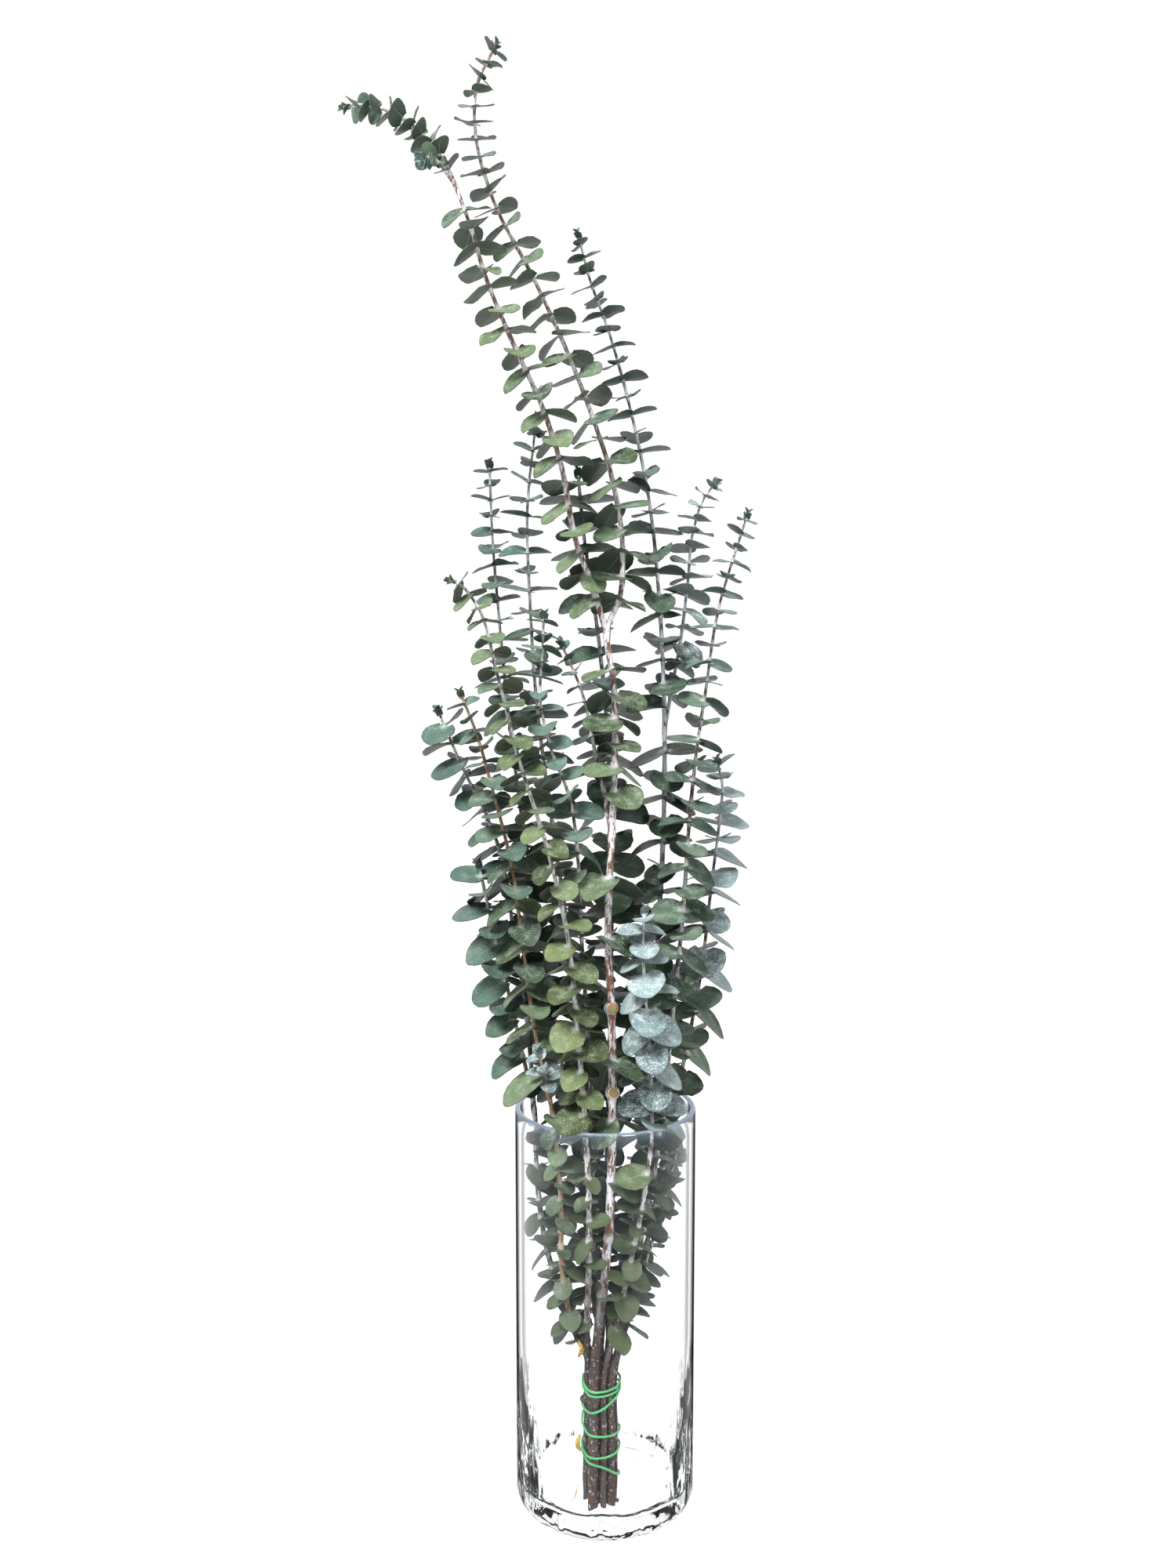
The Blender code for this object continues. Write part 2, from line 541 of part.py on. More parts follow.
def grow_shoot(solid, shoot, start):
    """Rings along the shoot, with leaves, stubs and side shoots growing out of its faces."""
    stations = shoot_rings(shoot)
    before = start
    for at, twist, number in stations[0 if start else 1:]:
        if before is None:
            before = solid.add_points(shoot.ring(stations[0][0], 0.0))
            solid.faces.append(tuple(reversed(before)))
        ring = solid.add_points(shoot.ring(at, twist))
        growing = {}
        if number is not None:
            event = shoot.events[number]
            _, _, directions = shoot.face_directions(event["at"], twist)
            if event["kind"] == "pair":
                growing = {k: leaf for k, leaf in zip(pair_faces(event), event["pair"])
                           if leaf["edge"] is not None}
            elif event["kind"] == "stub":
                growing = {nearest_face(directions, event["aim"]): None}
            else:
                child = event["shoot"]
                aim = child.frame(child.first)[0] - shoot.frame(event["at"])[0]
                growing = {nearest_face(directions, aim): child}
        solid.join(before, ring, growing)
        for k, grown in growing.items():
            after = (k + 1) % 4
            patch = [before[k], before[after], ring[after], ring[k]]
            if event["kind"] == "pair":
                grow_leaf(solid, patch, grown["edge"])
            elif event["kind"] == "stub":
                grow_stub(solid, patch, event, shoot)
            else:
                grow_shoot(solid, grown, patch)
        before = ring
    point, tangent, _ = shoot.frame(shoot.length)
    apex = solid.add_points([point + tangent * 2.0])[0]
    for k in range(4):
        solid.faces.append((before[k], before[(k + 1) % 4], apex))


def ring_profile(points, segments):
    """Closed body turned about Z from (radius, height) points that start and end on the axis."""
    solid = Solid()
    rings = []
    for radius, height in points:
        if radius == 0:
            rings.append(solid.add_points([(0.0, 0.0, height)]) * segments)
            continue
        turns = [2 * math.pi * i / segments for i in range(segments)]
        rings.append(solid.add_points([(radius * math.cos(turn), radius * math.sin(turn), height)
                                       for turn in turns]))
    for low, high in zip(rings, rings[1:]):
        for k in range(segments):
            after = (k + 1) % segments
            face = []
            for corner in (low[k], low[after], high[after], high[k]):
                if corner not in face:
                    face.append(corner)
            solid.faces.append(tuple(face))
    return solid


def arc(centre, radius, start, end, count):
    """(radius, height) points on an arc, angles in degrees from +radius towards +height."""
    steps = [start + (end - start) * i / count for i in range(count + 1)]
    return [(centre[0] + radius * math.cos(math.radians(step)),
             centre[1] + radius * math.sin(math.radians(step))) for step in steps]


def vase_solid():
    inner = VASE_RADIUS - VASE_WALL
    foot, floor, rim = VASE_FOOT_ROUND, VASE_FLOOR_ROUND, VASE_RIM_ROUND
    outline = [(0, 0.0)]
    outline += arc((VASE_RADIUS - foot, foot), foot, -90, 0, 5)
    outline += arc((VASE_RADIUS - rim, VASE_HEIGHT - rim), rim, 0, 90, 2)
    outline += arc((inner + rim, VASE_HEIGHT - rim), rim, 90, 180, 2)
    outline += arc((inner - floor, VASE_BASE + floor), floor, 0, -90, 4)
    outline += [(0, VASE_BASE)]
    return ring_profile(outline, VASE_SEGMENTS)


def bundle_hull(height, stems):
    """Convex outline round the stems at a height, grown by the twine's radius and gap."""
    grow = TWINE_DIAMETER / 2 + TWINE_GAP
    points = []
    for stem in stems:
        x, y, _ = tie_place(stem.spec, height)
        reach = stem.radius(height - FOOT_HEIGHT) + grow
        points += [(x + reach * math.cos(math.radians(a)), y + reach * math.sin(math.radians(a)))
                   for a in range(0, 360, 10)]
    hull = []
    points = sorted(points)
    for chain in (points, points[::-1]):
        side = []
        for point in chain:
            while len(side) > 1 and cross_2d(side[-2], side[-1], point) <= 0:
                side.pop()
            side.append(point)
        hull += side[:-1]
    return np.array(hull)


def cross_2d(a, b, c):
    return (b[0] - a[0]) * (c[1] - a[1]) - (b[1] - a[1]) * (c[0] - a[0])


def hull_point(hull, centre, turn):
    """Where a ray from the centre, `turn` turns from the front towards +X, leaves the outline."""
    angle = 2 * math.pi * turn
    ray = np.array([math.sin(angle), -math.cos(angle)])
    best = 0.0
    for a, b in zip(hull, np.roll(hull, -1, axis=0)):
        matrix = np.array([ray, a - b]).T
        if abs(np.linalg.det(matrix)) < 1e-9:
            continue
        reach, share = np.linalg.solve(matrix, a - centre)
        if -1e-9 <= share <= 1 + 1e-9:
            best = max(best, reach)
    return centre + ray * best


def twine_line(stems):
    """Winding round the bundle, its points a steady distance apart."""
    winding = np.array(TWINE_WINDING)
    turns = np.linspace(winding[0, 0], winding[-1, 0], int((winding[-1, 0] - winding[0, 0]) * 60))
    slopes = np.gradient(winding[:, 1], winding[:, 0])
    index = np.clip(np.searchsorted(winding[:, 0], turns, side="right") - 1, 0, len(winding) - 2)
    span = winding[index + 1, 0] - winding[index, 0]
    u = (turns - winding[index, 0]) / span
    heights = ((2 * u**3 - 3 * u**2 + 1) * winding[index, 1] + (u**3 - 2 * u**2 + u) * span
               * slopes[index] + (3 * u**2 - 2 * u**3) * winding[index + 1, 1]
               + (u**3 - u**2) * span * slopes[index + 1])
    path = []
    for turn, height in zip(turns, heights):
        rise = (height - FOOT_HEIGHT) / (TIE_TOP - FOOT_HEIGHT)
        centre = np.array(FOOT_CENTRE) * (1 - rise) + np.array(TIE_CENTRE) * rise
        place = hull_point(bundle_hull(height, stems), centre, turn)
        path.append((place[0], place[1], height))
    path = np.array(path)
    along = np.append(0.0, np.cumsum(np.linalg.norm(np.diff(path, axis=0), axis=1)))
    at = np.linspace(0, along[-1], int(along[-1] / TWINE_STEP) + 1)
    return np.array([np.interp(at, along, path[:, axis]) for axis in range(3)]).T


def tube_solid(line, radii, sides):
    """Closed tube with flat ends along a line, one radius for each point."""
    tangents = np.gradient(line, axis=0)
    front = np.array([0.0, 0.0, 1.0])
    if abs(unit(tangents[0])[2]) > 0.9:
        front = np.array([1.0, 0.0, 0.0])
    solid = Solid()
    before = None
    for point, tangent, radius in zip(line, tangents, radii):
        tangent = unit(tangent)
        front = unit(front - tangent * np.dot(front, tangent))
        side = np.cross(tangent, front)
        turns = [2 * math.pi * i / sides for i in range(sides)]
        ring = solid.add_points([point + radius * (math.cos(turn) * front + math.sin(turn) * side)
                                 for turn in turns])
        if before is None:
            solid.faces.append(tuple(reversed(ring)))
        else:
            solid.join(before, ring)
        before = ring
    solid.faces.append(tuple(before))
    return solid


def scrap_solid(points, thick):
    """A bent sliver, thickest in the middle and thin but blunt at both ends."""
    line = smooth_line(points, SCRAP_STEP)
    swell = np.sin(np.linspace(0, math.pi, len(line)))
    return tube_solid(line, thick * (0.3 + 0.7 * swell), 4)


def plain_material(name, colour, roughness, transmission=0.0):
    material = bpy.data.materials.new(name)
    material.use_nodes = True
    shader = material.node_tree.nodes["Principled BSDF"]
    shader.inputs["Base Color"].default_value = (*colour, 1.0)
    shader.inputs["Roughness"].default_value = roughness
    shader.inputs["Metallic"].default_value = 0.0
    shader.inputs["Transmission Weight"].default_value = transmission
    return material


def make_object(name, solid, material, smooth=False):
    mesh = bpy.data.meshes.new(name)
    mesh.from_pydata([tuple(MM * value for value in point) for point in solid.points], [], solid.faces)
    mesh.validate()
    work = bmesh.new()
    work.from_mesh(mesh)
    bmesh.ops.triangulate(work, faces=work.faces[:])
    work.to_mesh(mesh)
    work.free()
    if smooth:
        mesh.shade_smooth()
    mesh.materials.append(material)
    piece = bpy.data.objects.new(name, mesh)
    bpy.context.scene.collection.objects.link(piece)
    return piece


def main():
    for old in list(bpy.data.objects):
        bpy.data.objects.remove(old, do_unlink=True)

    branches = [(branch, plan_shoots(branch)) for branch in BRANCHES]
    all_shoots = [(f"{branch['name']}:{i}", shoot)
                  for branch, shoots in branches for i, shoot in enumerate(shoots)]

    vase = vase_solid()
    winding = twine_line([shoots[0] for _, shoots in branches])
    twine = tube_solid(winding, np.full(len(winding), TWINE_DIAMETER / 2), TWINE_SIDES)
    scraps = [(name, scrap_solid(points, thick)) for name, points, thick in SCRAPS]

    solids = {"vase": mesh_tree(vase.points, vase.faces)}
    solids["twine"] = mesh_tree(twine.points, twine.faces)
    solids.update({name: mesh_tree(scrap.points, scrap.faces) for name, scrap in scraps})
    solids.update({name: stem_tree(shoot) for name, shoot in all_shoots})
    place_leaves(all_shoots, Crowd(solids))

    make_object("vase", vase, plain_material("clear_glass", (0.92, 0.96, 0.97), 0.03, 1.0), True)
    make_object("twine", twine, plain_material("mint_twine", MINT, 0.7), True)
    for name, scrap in scraps:
        make_object(name, scrap, plain_material(name, BARK, 0.8))
    for branch, shoots in branches:
        solid = Solid()
        grow_shoot(solid, shoots[0], None)
        make_object(branch["name"], solid, plain_material(branch["name"], branch["tint"], 0.6))


main()
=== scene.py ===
import json
import math
import random
import bpy
import numpy as np
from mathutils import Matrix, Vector
from mathutils.kdtree import KDTree

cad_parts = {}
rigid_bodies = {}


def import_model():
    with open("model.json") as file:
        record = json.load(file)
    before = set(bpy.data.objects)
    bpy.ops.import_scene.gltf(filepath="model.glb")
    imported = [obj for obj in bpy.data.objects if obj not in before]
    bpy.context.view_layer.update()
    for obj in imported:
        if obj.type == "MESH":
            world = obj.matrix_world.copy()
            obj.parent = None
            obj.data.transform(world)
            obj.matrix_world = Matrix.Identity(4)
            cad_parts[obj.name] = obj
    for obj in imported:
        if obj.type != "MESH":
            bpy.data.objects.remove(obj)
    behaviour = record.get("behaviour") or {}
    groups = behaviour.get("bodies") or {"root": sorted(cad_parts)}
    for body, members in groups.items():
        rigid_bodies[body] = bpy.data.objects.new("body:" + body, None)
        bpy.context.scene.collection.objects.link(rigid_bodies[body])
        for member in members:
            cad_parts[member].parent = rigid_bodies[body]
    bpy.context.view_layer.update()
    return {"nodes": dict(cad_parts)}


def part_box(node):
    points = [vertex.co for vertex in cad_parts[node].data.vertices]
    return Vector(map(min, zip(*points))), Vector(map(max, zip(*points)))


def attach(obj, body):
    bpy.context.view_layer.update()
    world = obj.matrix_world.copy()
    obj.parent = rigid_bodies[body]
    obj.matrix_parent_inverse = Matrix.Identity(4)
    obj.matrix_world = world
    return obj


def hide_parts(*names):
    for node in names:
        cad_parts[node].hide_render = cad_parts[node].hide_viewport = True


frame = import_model()
mm = 0.001

# how the bunch grew, in millimetres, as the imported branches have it

# bundle: middle of the stems at the foot and at the top of the tie, and those two heights
bundle = dict(foot=(-3.0, -27.0), top=(-2.0, -24.5), footHeight=12.4, topHeight=92.0)
# growth: how leaf pairs are spaced, how far each leaf strays in degrees, and how blades lean and lift
growth = dict(step=1.0, nodeHalf=0.8, forkClear=9.0, tipClear=2.5, ringGap=1.5, tilt=14, turn=12,
              roll=20, twist=9, lean=20.0, leanTop=600.0, leanFade=300.0, lift=13.0, liftTop=140.0)

# ways a crowded leaf gave way: tilt, turn, size
leafTries = [
    (0, 0, 1.0), (12, 0, 1.0), (-12, 0, 1.0), (0, 18, 0.95), (0, -18, 0.95), (24, 0, 0.9),
    (-24, 0, 0.9), (14, 24, 0.85), (14, -24, 0.85), (-14, 24, 0.85), (-14, -24, 0.85),
    (36, 0, 0.75), (-36, 0, 0.75), (0, 0, 0.7), (22, 0, 0.6), (-22, 0, 0.6), (0, 32, 0.55),
    (0, -32, 0.55), (0, 0, 0.45)]

# leaf zones: from, to, gap at each end, leaf length at each end, tilt at each end, width ratio
branches = [
    dict(name="branch_trunk", seed=11, tie=(-28, 8.9), radius=(3.2, 0.8), phase=42,
         leaf="olive", bark="trunk", slot="olive_branch",
         route=[(-4, -31, 115), (1, -33, 162), (3, -35, 217), (3, -32, 286), (1, -25, 333),
                (3, -17, 384), (5, -11, 431), (4, -7, 465), (1, -4, 494), (7, -3, 508),
                (9, -1, 531), (4, 2, 569), (-8, 5, 607), (-19, 6, 635), (-38, 6, 676),
                (-60, 3, 718), (-68, 0, 749), (-67, -2, 771), (-57, -4, 791)],
         leaves=[(122, 380, 33, 30, 23, 23, -14, -8, 1.05),
                 (396, None, 13, 6.5, 19.5, 9, -10, 30, 1.0)],
         stubs=[(64, 2.2, (-0.5, -1.0, 0.1)), (236, 3.1, (0.1, -1.0, 0.25)),
                (281, 3.1, (0.15, -1.0, 0.2))],
         shoots=[dict(at=372, radius=(1.5, 0.7), seed=12, leaf="sage",
                      route=[(-1, -9, 405), (-7, -2, 432), (-13, 2, 459), (-21, 4, 478), (-24, 3, 485)],
                      leaves=[(26, None, 10, 6, 13, 6, 0, 35, 0.9)]),
                 dict(at=481, radius=(1.9, 0.8), seed=13, leaf="olive",
                      route=[(-7, -6, 514), (-16, -8, 539), (-24, -10, 579), (-34, -11, 609),
                             (-48, -12, 639), (-62, -13, 672), (-72, -14, 704), (-86, -14, 734),
                             (-107, -14, 753), (-122, -14, 758), (-134, -14, 757)],
                      leaves=[(20, 236, 12.5, 9, 18.5, 15, -10, 10, 0.95),
                              (253, None, 6.5, 5, 11, 9, 30, 50, 1.15)],
                      shoots=[dict(at=242, radius=(1.0, 0.7), seed=14, leaf="sage",
                                   route=[(-87, -22, 729), (-93, -33, 726)],
                                   leaves=[(9, None, 4.5, 3.5, 9, 5, 25, 45, 0.9)])])]),
    dict(name="branch_front_left", seed=21, tie=(-73, 8.0), radius=(2.2, 0.8), phase=42,
         leaf="moss", bark="speckled", slot="olive_branch",
         route=[(-10, -31, 117), (-9, -35, 150), (-9, -37, 190), (-11, -38, 229), (-15, -37, 279),
                (-20, -35, 330), (-30, -33, 375), (-46, -30, 426), (-57, -26, 469), (-69, -21, 507),
                (-77, -19, 516), (-82, -18, 518)],
         leaves=[(96, None, 11.8, 7.5, 17, 11, -12, 8, 1.05)],
         stubs=[(62, 2.2, (-0.75, -1.0, 0.1))]),
    dict(name="branch_front_right", seed=22, tie=(12, 8.0), radius=(1.9, 0.8), phase=8,
         leaf="blue", low=("moss", 222), bark="speckled", slot="blue_branch",
         route=[(6, -30, 117), (11, -33, 144), (19, -35, 185), (24, -36, 228), (23, -37, 271),
                (20, -37, 309), (19, -37, 334), (20, -37, 347)],
         leaves=[(104, 214, 10, 10, 15, 17, -12, -12, 1.0),
                 (222, None, 10.5, 6, 20, 11, -14, 20, 1.05)]),
    dict(name="branch_left_low", seed=23, tie=(-108, 8.0), radius=(2.0, 0.8), phase=12,
         leaf="olive", bark="tan", slot="olive_branch",
         route=[(-18, -30, 117), (-23, -32, 148), (-24, -31, 192), (-28, -27, 230), (-37, -22, 271),
                (-44, -18, 318), (-51, -14, 368), (-61, -11, 408), (-70, -9, 439), (-78, -8, 459)],
         leaves=[(98, 228, 9, 9, 13, 14, -12, -10, 1.0), (238, 250, 9, 9, 25, 25, -8, -8, 1.0),
                 (262, None, 11, 7, 18, 9, -10, 20, 1.0)],
         shoots=[dict(at=236, radius=(1.1, 0.7), seed=24, leaf="blue",
                      route=[(-33, -31, 257), (-36, -35, 271)],
                      leaves=[(10, None, 5, 4, 10, 6, 5, 35, 0.8)])]),
    dict(name="branch_centre_left", seed=25, tie=(-40, 2.8), radius=(2.0, 0.7), phase=0,
         leaf="sage", bark="speckled", slot="sage_branch",
         route=[(-5, -22, 134), (-6, -20, 196), (-9, -20, 266), (-13, -21, 327), (-15, -20, 371),
                (-19, -19, 402), (-30, -17, 432), (-35, -15, 456), (-34, -12, 477), (-33, -9, 500)],
         leaves=[(100, 228, 10, 10, 15, 16, -12, -10, 1.0),
                 (239, None, 11.5, 6.5, 17.5, 9, -10, 20, 1.0)]),
    dict(name="branch_right", seed=26, tie=(47, 8.0), radius=(2.2, 0.7), phase=20,
         leaf="sage", bark="speckled", slot="sage_branch",
         route=[(11, -22, 113), (17, -18, 147), (26, -15, 195), (32, -13, 238), (37, -9, 289),
                (42, -6, 338), (45, -3, 384), (49, -1, 426), (54, 1, 460), (61, 3, 505),
                (69, 4, 532), (76, 4, 554)],
         leaves=[(104, 238, 10.5, 10.5, 15, 16, -12, -8, 1.0),
                 (249, None, 12.2, 7.2, 19, 8, -10, 35, 1.0)],
         stubs=[(6, 1.3, (1.0, -0.2, 0.05))]),
    dict(name="branch_left_outer", seed=27, tie=(-143, 8.0), radius=(2.2, 0.9), phase=10,
         leaf="deep", bark="speckled", slot="deep_branch",
         route=[(-17, -20, 114), (-31, -17, 151), (-37, -12, 189), (-39, -9, 228), (-47, -8, 268),
                (-55, -7, 304), (-62, -6, 334), (-69, -5, 366)],
         leaves=[(98, 232, 9.5, 9.5, 16, 18, -12, -12, 1.0),
                 (243, None, 11, 8, 20, 17, -12, 25, 1.0)],
         shoots=[dict(at=225, radius=(1.6, 0.8), seed=28, leaf="deep",
                      route=[(-43, -2, 279), (-51, 4, 330), (-58, 6, 371), (-67, 6, 395),
                             (-78, 5, 417), (-85, 4, 434), (-91, 3, 449)],
                      leaves=[(26, None, 11, 9.5, 18, 18, -8, 20, 1.1)])]),
    dict(name="branch_tall_right", seed=31, tie=(80, 2.8), radius=(2.4, 0.7), phase=5,
         leaf="deep", bark="pale", slot="deep_branch",
         route=[(5, -16, 123), (12, -8, 156), (20, 0, 202), (25, 5, 255), (29, 8, 321),
                (32, 9, 386), (32, 10, 451), (29, 12, 510), (24, 13, 558), (12, 15, 615),
                (1, 17, 653), (-9, 18, 680), (-15, 18, 703)],
         leaves=[(104, 240, 11, 11, 16, 17, -10, -10, 1.0),
                 (252, None, 13, 7, 20, 9, -10, 35, 1.05)],
         shoots=[dict(at=430, radius=(1.2, 0.7), seed=32, leaf="blue",
                      route=[(36, 14, 458), (41, 17, 485), (45, 19, 517), (48, 20, 546),
                             (54, 20, 564), (60, 20, 572)],
                      leaves=[(20, None, 9.5, 5.5, 16, 7, -5, 40, 1.0)])]),
    dict(name="branch_back_left", seed=33, tie=(180, 8.0), radius=(2.2, 0.7), phase=15,
         leaf="deep", bark="pale", slot="deep_branch",
         route=[(-7, -10, 130), (-11, 4, 187), (-15, 12, 253), (-21, 15, 324), (-30, 15, 390),
                (-38, 13, 455), (-41, 10, 506), (-42, 8, 561), (-39, 7, 589), (-37, 6, 604)],
         leaves=[(104, 236, 11.5, 11.5, 16, 17, -10, -10, 0.95),
                 (248, None, 13, 7.5, 19, 11, -10, 40, 0.85)]),
    dict(name="branch_back_middle", seed=34, tie=(-160, 2.8), radius=(2.0, 1.1), phase=0,
         leaf="deep", bark="pale", slot="deep_branch",
         route=[(0, -14, 131), (1, 0, 189), (3, 10, 276), (3, 14, 372), (0, 16, 451),
                (-7, 16, 511), (-12, 16, 544), (-15, 15, 577)],
         leaves=[(112, 240, 12, 12, 16, 18, -10, -10, 1.05),
                 (254, None, 14.5, 13.5, 21, 21, -12, 25, 1.1)]),
    dict(name="branch_far_left", seed=35, tie=(145, 8.0), radius=(2.1, 0.7), phase=-10,
         leaf="deep", bark="pale", slot="deep_branch",
         route=[(-1, -4, 130), (-14, 14, 186), (-26, 22, 255), (-36, 25, 322), (-47, 26, 389),
                (-55, 25, 457), (-59, 23, 502), (-62, 20, 545), (-63, 17, 582)],
         leaves=[(106, 240, 11.5, 11.5, 16, 17, -10, -10, 1.0),
                 (252, None, 13, 7.2, 19, 9, -10, 35, 1.0)]),
    dict(name="branch_far_right", seed=36, tie=(110, 8.0), radius=(2.1, 0.8), phase=12,
         leaf="blue", low=("sage", 300), bark="speckled", slot="blue_branch",
         route=[(10, -14, 112), (21, -2, 142), (29, 6, 174), (36, 13, 212), (45, 18, 251),
                (54, 20, 300), (60, 20, 354), (64, 20, 389), (65, 20, 407), (62, 20, 420)],
         leaves=[(102, 230, 10.5, 10.5, 15, 17, -10, -10, 1.0),
                 (241, None, 12, 6.5, 21.5, 12, -12, 30, 1.1)]),
    dict(name="branch_short_right", seed=37, tie=(78, 8.2), radius=(1.5, 0.7), phase=18,
         leaf="sage", bark="speckled", slot="blue_branch",
         route=[(12, -18, 111), (21, -12, 140), (30, -8, 169), (37, -6, 196), (41, -6, 213)],
         leaves=[(118, None, 9.5, 5, 14, 8, -8, 35, 0.9)]),
]


def unit(vector):
    return vector / np.linalg.norm(vector, axis=-1, keepdims=True)


def turned(vector, axis, degrees):  # a vector turned about a unit axis, by Rodrigues' formula
    angle = math.radians(degrees)
    along = axis * np.dot(axis, vector)
    return along + (vector - along) * math.cos(angle) + np.cross(axis, vector) * math.sin(angle)


def smoothLine(points, step):  # cubic Hermite curve, slopes by differences over the chords
    points = np.array(points, dtype=float)
    chord = np.append(0.0, np.cumsum(np.linalg.norm(np.diff(points, axis=0), axis=1)))
    slopes = np.gradient(points, chord, axis=0)
    at = np.linspace(0.0, chord[-1], max(3, int(chord[-1] / step) + 1))
    index = np.clip(np.searchsorted(chord, at, side="right") - 1, 0, len(points) - 2)
    span = (chord[index + 1] - chord[index])[:, None]
    u = (at - chord[index])[:, None] / span
    return ((2 * u**3 - 3 * u**2 + 1) * points[index] + (u**3 - 2 * u**2 + u) * span * slopes[index]
            + (3 * u**2 - 2 * u**3) * points[index + 1] + (u**3 - u**2) * span * slopes[index + 1])


def bundleMiddle(height):  # the bundle leans evenly from its foot to its tie
    rise = (height - bundle["footHeight"]) / (bundle["topHeight"] - bundle["footHeight"])
    return np.array(bundle["foot"]) * (1 - rise) + np.array(bundle["top"]) * rise


def tiePlace(branch, height):  # a stem's middle at a height inside the tie
    degrees, distance = branch["tie"]
    angle = math.radians(degrees)
    x, y = bundleMiddle(height) + distance * np.array([math.sin(angle), -math.cos(angle)])
    return (x, y, height)


class Shoot:  # a stem or side shoot: its line, the frames along it and what grows on it
    def __init__(self, spec, points, front):
        self.spec, self.parent, self.first = spec, None, 0.0
        self.line = smoothLine(points, growth["step"])
        steps = np.linalg.norm(np.diff(self.line, axis=0), axis=1)
        self.along = np.append(0.0, np.cumsum(steps))
        self.length = self.along[-1]
        self.tangents = unit(np.gradient(self.line, self.along, axis=0))
        self.fronts = np.empty_like(self.line)
        for i, tangent in enumerate(self.tangents):
            front = unit(front - tangent * np.dot(front, tangent))
            self.fronts[i] = front

    def frames(self, at):  # points, tangents and front directions at distances along the line
        at = np.atleast_1d(at)
        point, tangent, front = [np.stack([np.interp(at, self.along, column[:, axis])
                                           for axis in range(3)], -1)
                                 for column in (self.line, self.tangents, self.fronts)]
        tangent = unit(tangent)
        front = unit(front - tangent * np.sum(front * tangent, axis=-1, keepdims=True))
        return point, tangent, front

    def frame(self, at):
        point, tangent, front = self.frames(at)
        return point[0], tangent[0], front[0]

    def radius(self, at):  # tapers evenly to the tip
        foot, tip = self.spec["radius"]
        return foot + (tip - foot) * at / self.length

    def ring(self, at, twist):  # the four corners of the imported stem
        point, tangent, front = self.frame(at)
        front = turned(front, tangent, twist)
        side = np.cross(tangent, front)
        corner = self.radius(at) / math.sqrt(2)
        return [point + corner * (front - side), point + corner * (front + side),
                point + corner * (side - front), point - corner * (front + side)]


def leafPlaces(zone, length):  # the pairs' distances along a zone, closer or wider towards its end
    start, end, gapStart, gapEnd = zone[:4]
    end = length - growth["tipClear"] if end is None else end
    places, at = [], start
    while at < end:
        share = (at - start) / (end - start)
        places.append((at, share))
        at += gapStart + (gapEnd - gapStart) * share**2.5
    return places


def planEvents(shoot):  # leaf pairs, forks and cut stubs in order along the shoot
    spec = shoot.spec
    events = [dict(at=fork["at"], kind="fork", half=fork["radius"][0], child=fork)
              for fork in spec.get("shoots", [])]
    events += [dict(at=at, kind="stub", half=radius * 0.8, radius=radius, aim=unit(np.array(aim)))
               for at, radius, aim in spec.get("stubs", [])]
    taken = [event["at"] for event in events]
    draw = random.Random(spec["seed"])
    spread = {key: (-growth[key], growth[key]) for key in ("tilt", "turn", "roll", "twist")}
    for zone in spec["leaves"]:
        _, _, _, _, sizeStart, sizeEnd, tiltStart, tiltEnd, width = zone
        for number, (at, share) in enumerate(leafPlaces(zone, shoot.length)):
            size = sizeStart + (sizeEnd - sizeStart) * share**3
            tilt = tiltStart + (tiltEnd - tiltStart) * share**2
            pair = [dict(size=size * draw.uniform(0.88, 1.12), width=width * draw.uniform(0.9, 1.1),
                         tilt=tilt + draw.uniform(*spread["tilt"]), turn=draw.uniform(*spread["turn"]),
                         roll=draw.uniform(*spread["roll"]), cup=draw.uniform(-0.06, 0.12))
                    for _ in range(2)]
            twist = draw.uniform(*spread["twist"])
            if all(abs(at - other) > growth["forkClear"] for other in taken):
                half = min(growth["nodeHalf"], size * 0.07)
                events.append(dict(at=at, kind="pair", half=half, pair=pair, odd=number % 2,
                                   twist=twist, share=share))
    shoot.events = sorted(events, key=lambda event: event["at"])


def planShoots(branch):  # the main stem and all its side shoots, parents first
    low, high = bundle["footHeight"], bundle["topHeight"]
    points = [tiePlace(branch, height) for height in (low, (low + high) / 2, high)]
    front = turned(np.array([0.0, -1.0, 0.0]), np.array([0.0, 0.0, 1.0]), branch["phase"])
    shoots = [Shoot(branch, points + branch["route"], front)]
    for parent in shoots:
        planEvents(parent)
        for event in parent.events:
            if event["kind"] == "fork":
                point, tangent, _ = parent.frame(event["at"])
                spec = event["child"]
                child = Shoot(spec, [tuple(point)] + spec["route"], -tangent)
                reach = np.linalg.norm(child.line[:, None] - parent.line[None], axis=2).min(axis=1)
                clear = parent.radius(event["at"]) + 1.3 * child.radius(0.0)
                child.first = child.along[np.argmax(reach > clear)]
                child.parent = parent
                shoots.append(child)
    return shoots


def ringTwists(shoot):  # a pair too close after the last ring has no ring of its own, and no leaves
    before, twist = shoot.first, 0.0
    for event in shoot.events:
        event["twist"] = event.get("twist", twist)
        event["grows"] = event["at"] - event["half"] >= before + growth["ringGap"]
        if event["grows"]:
            before, twist = event["at"] + event["half"], event["twist"]


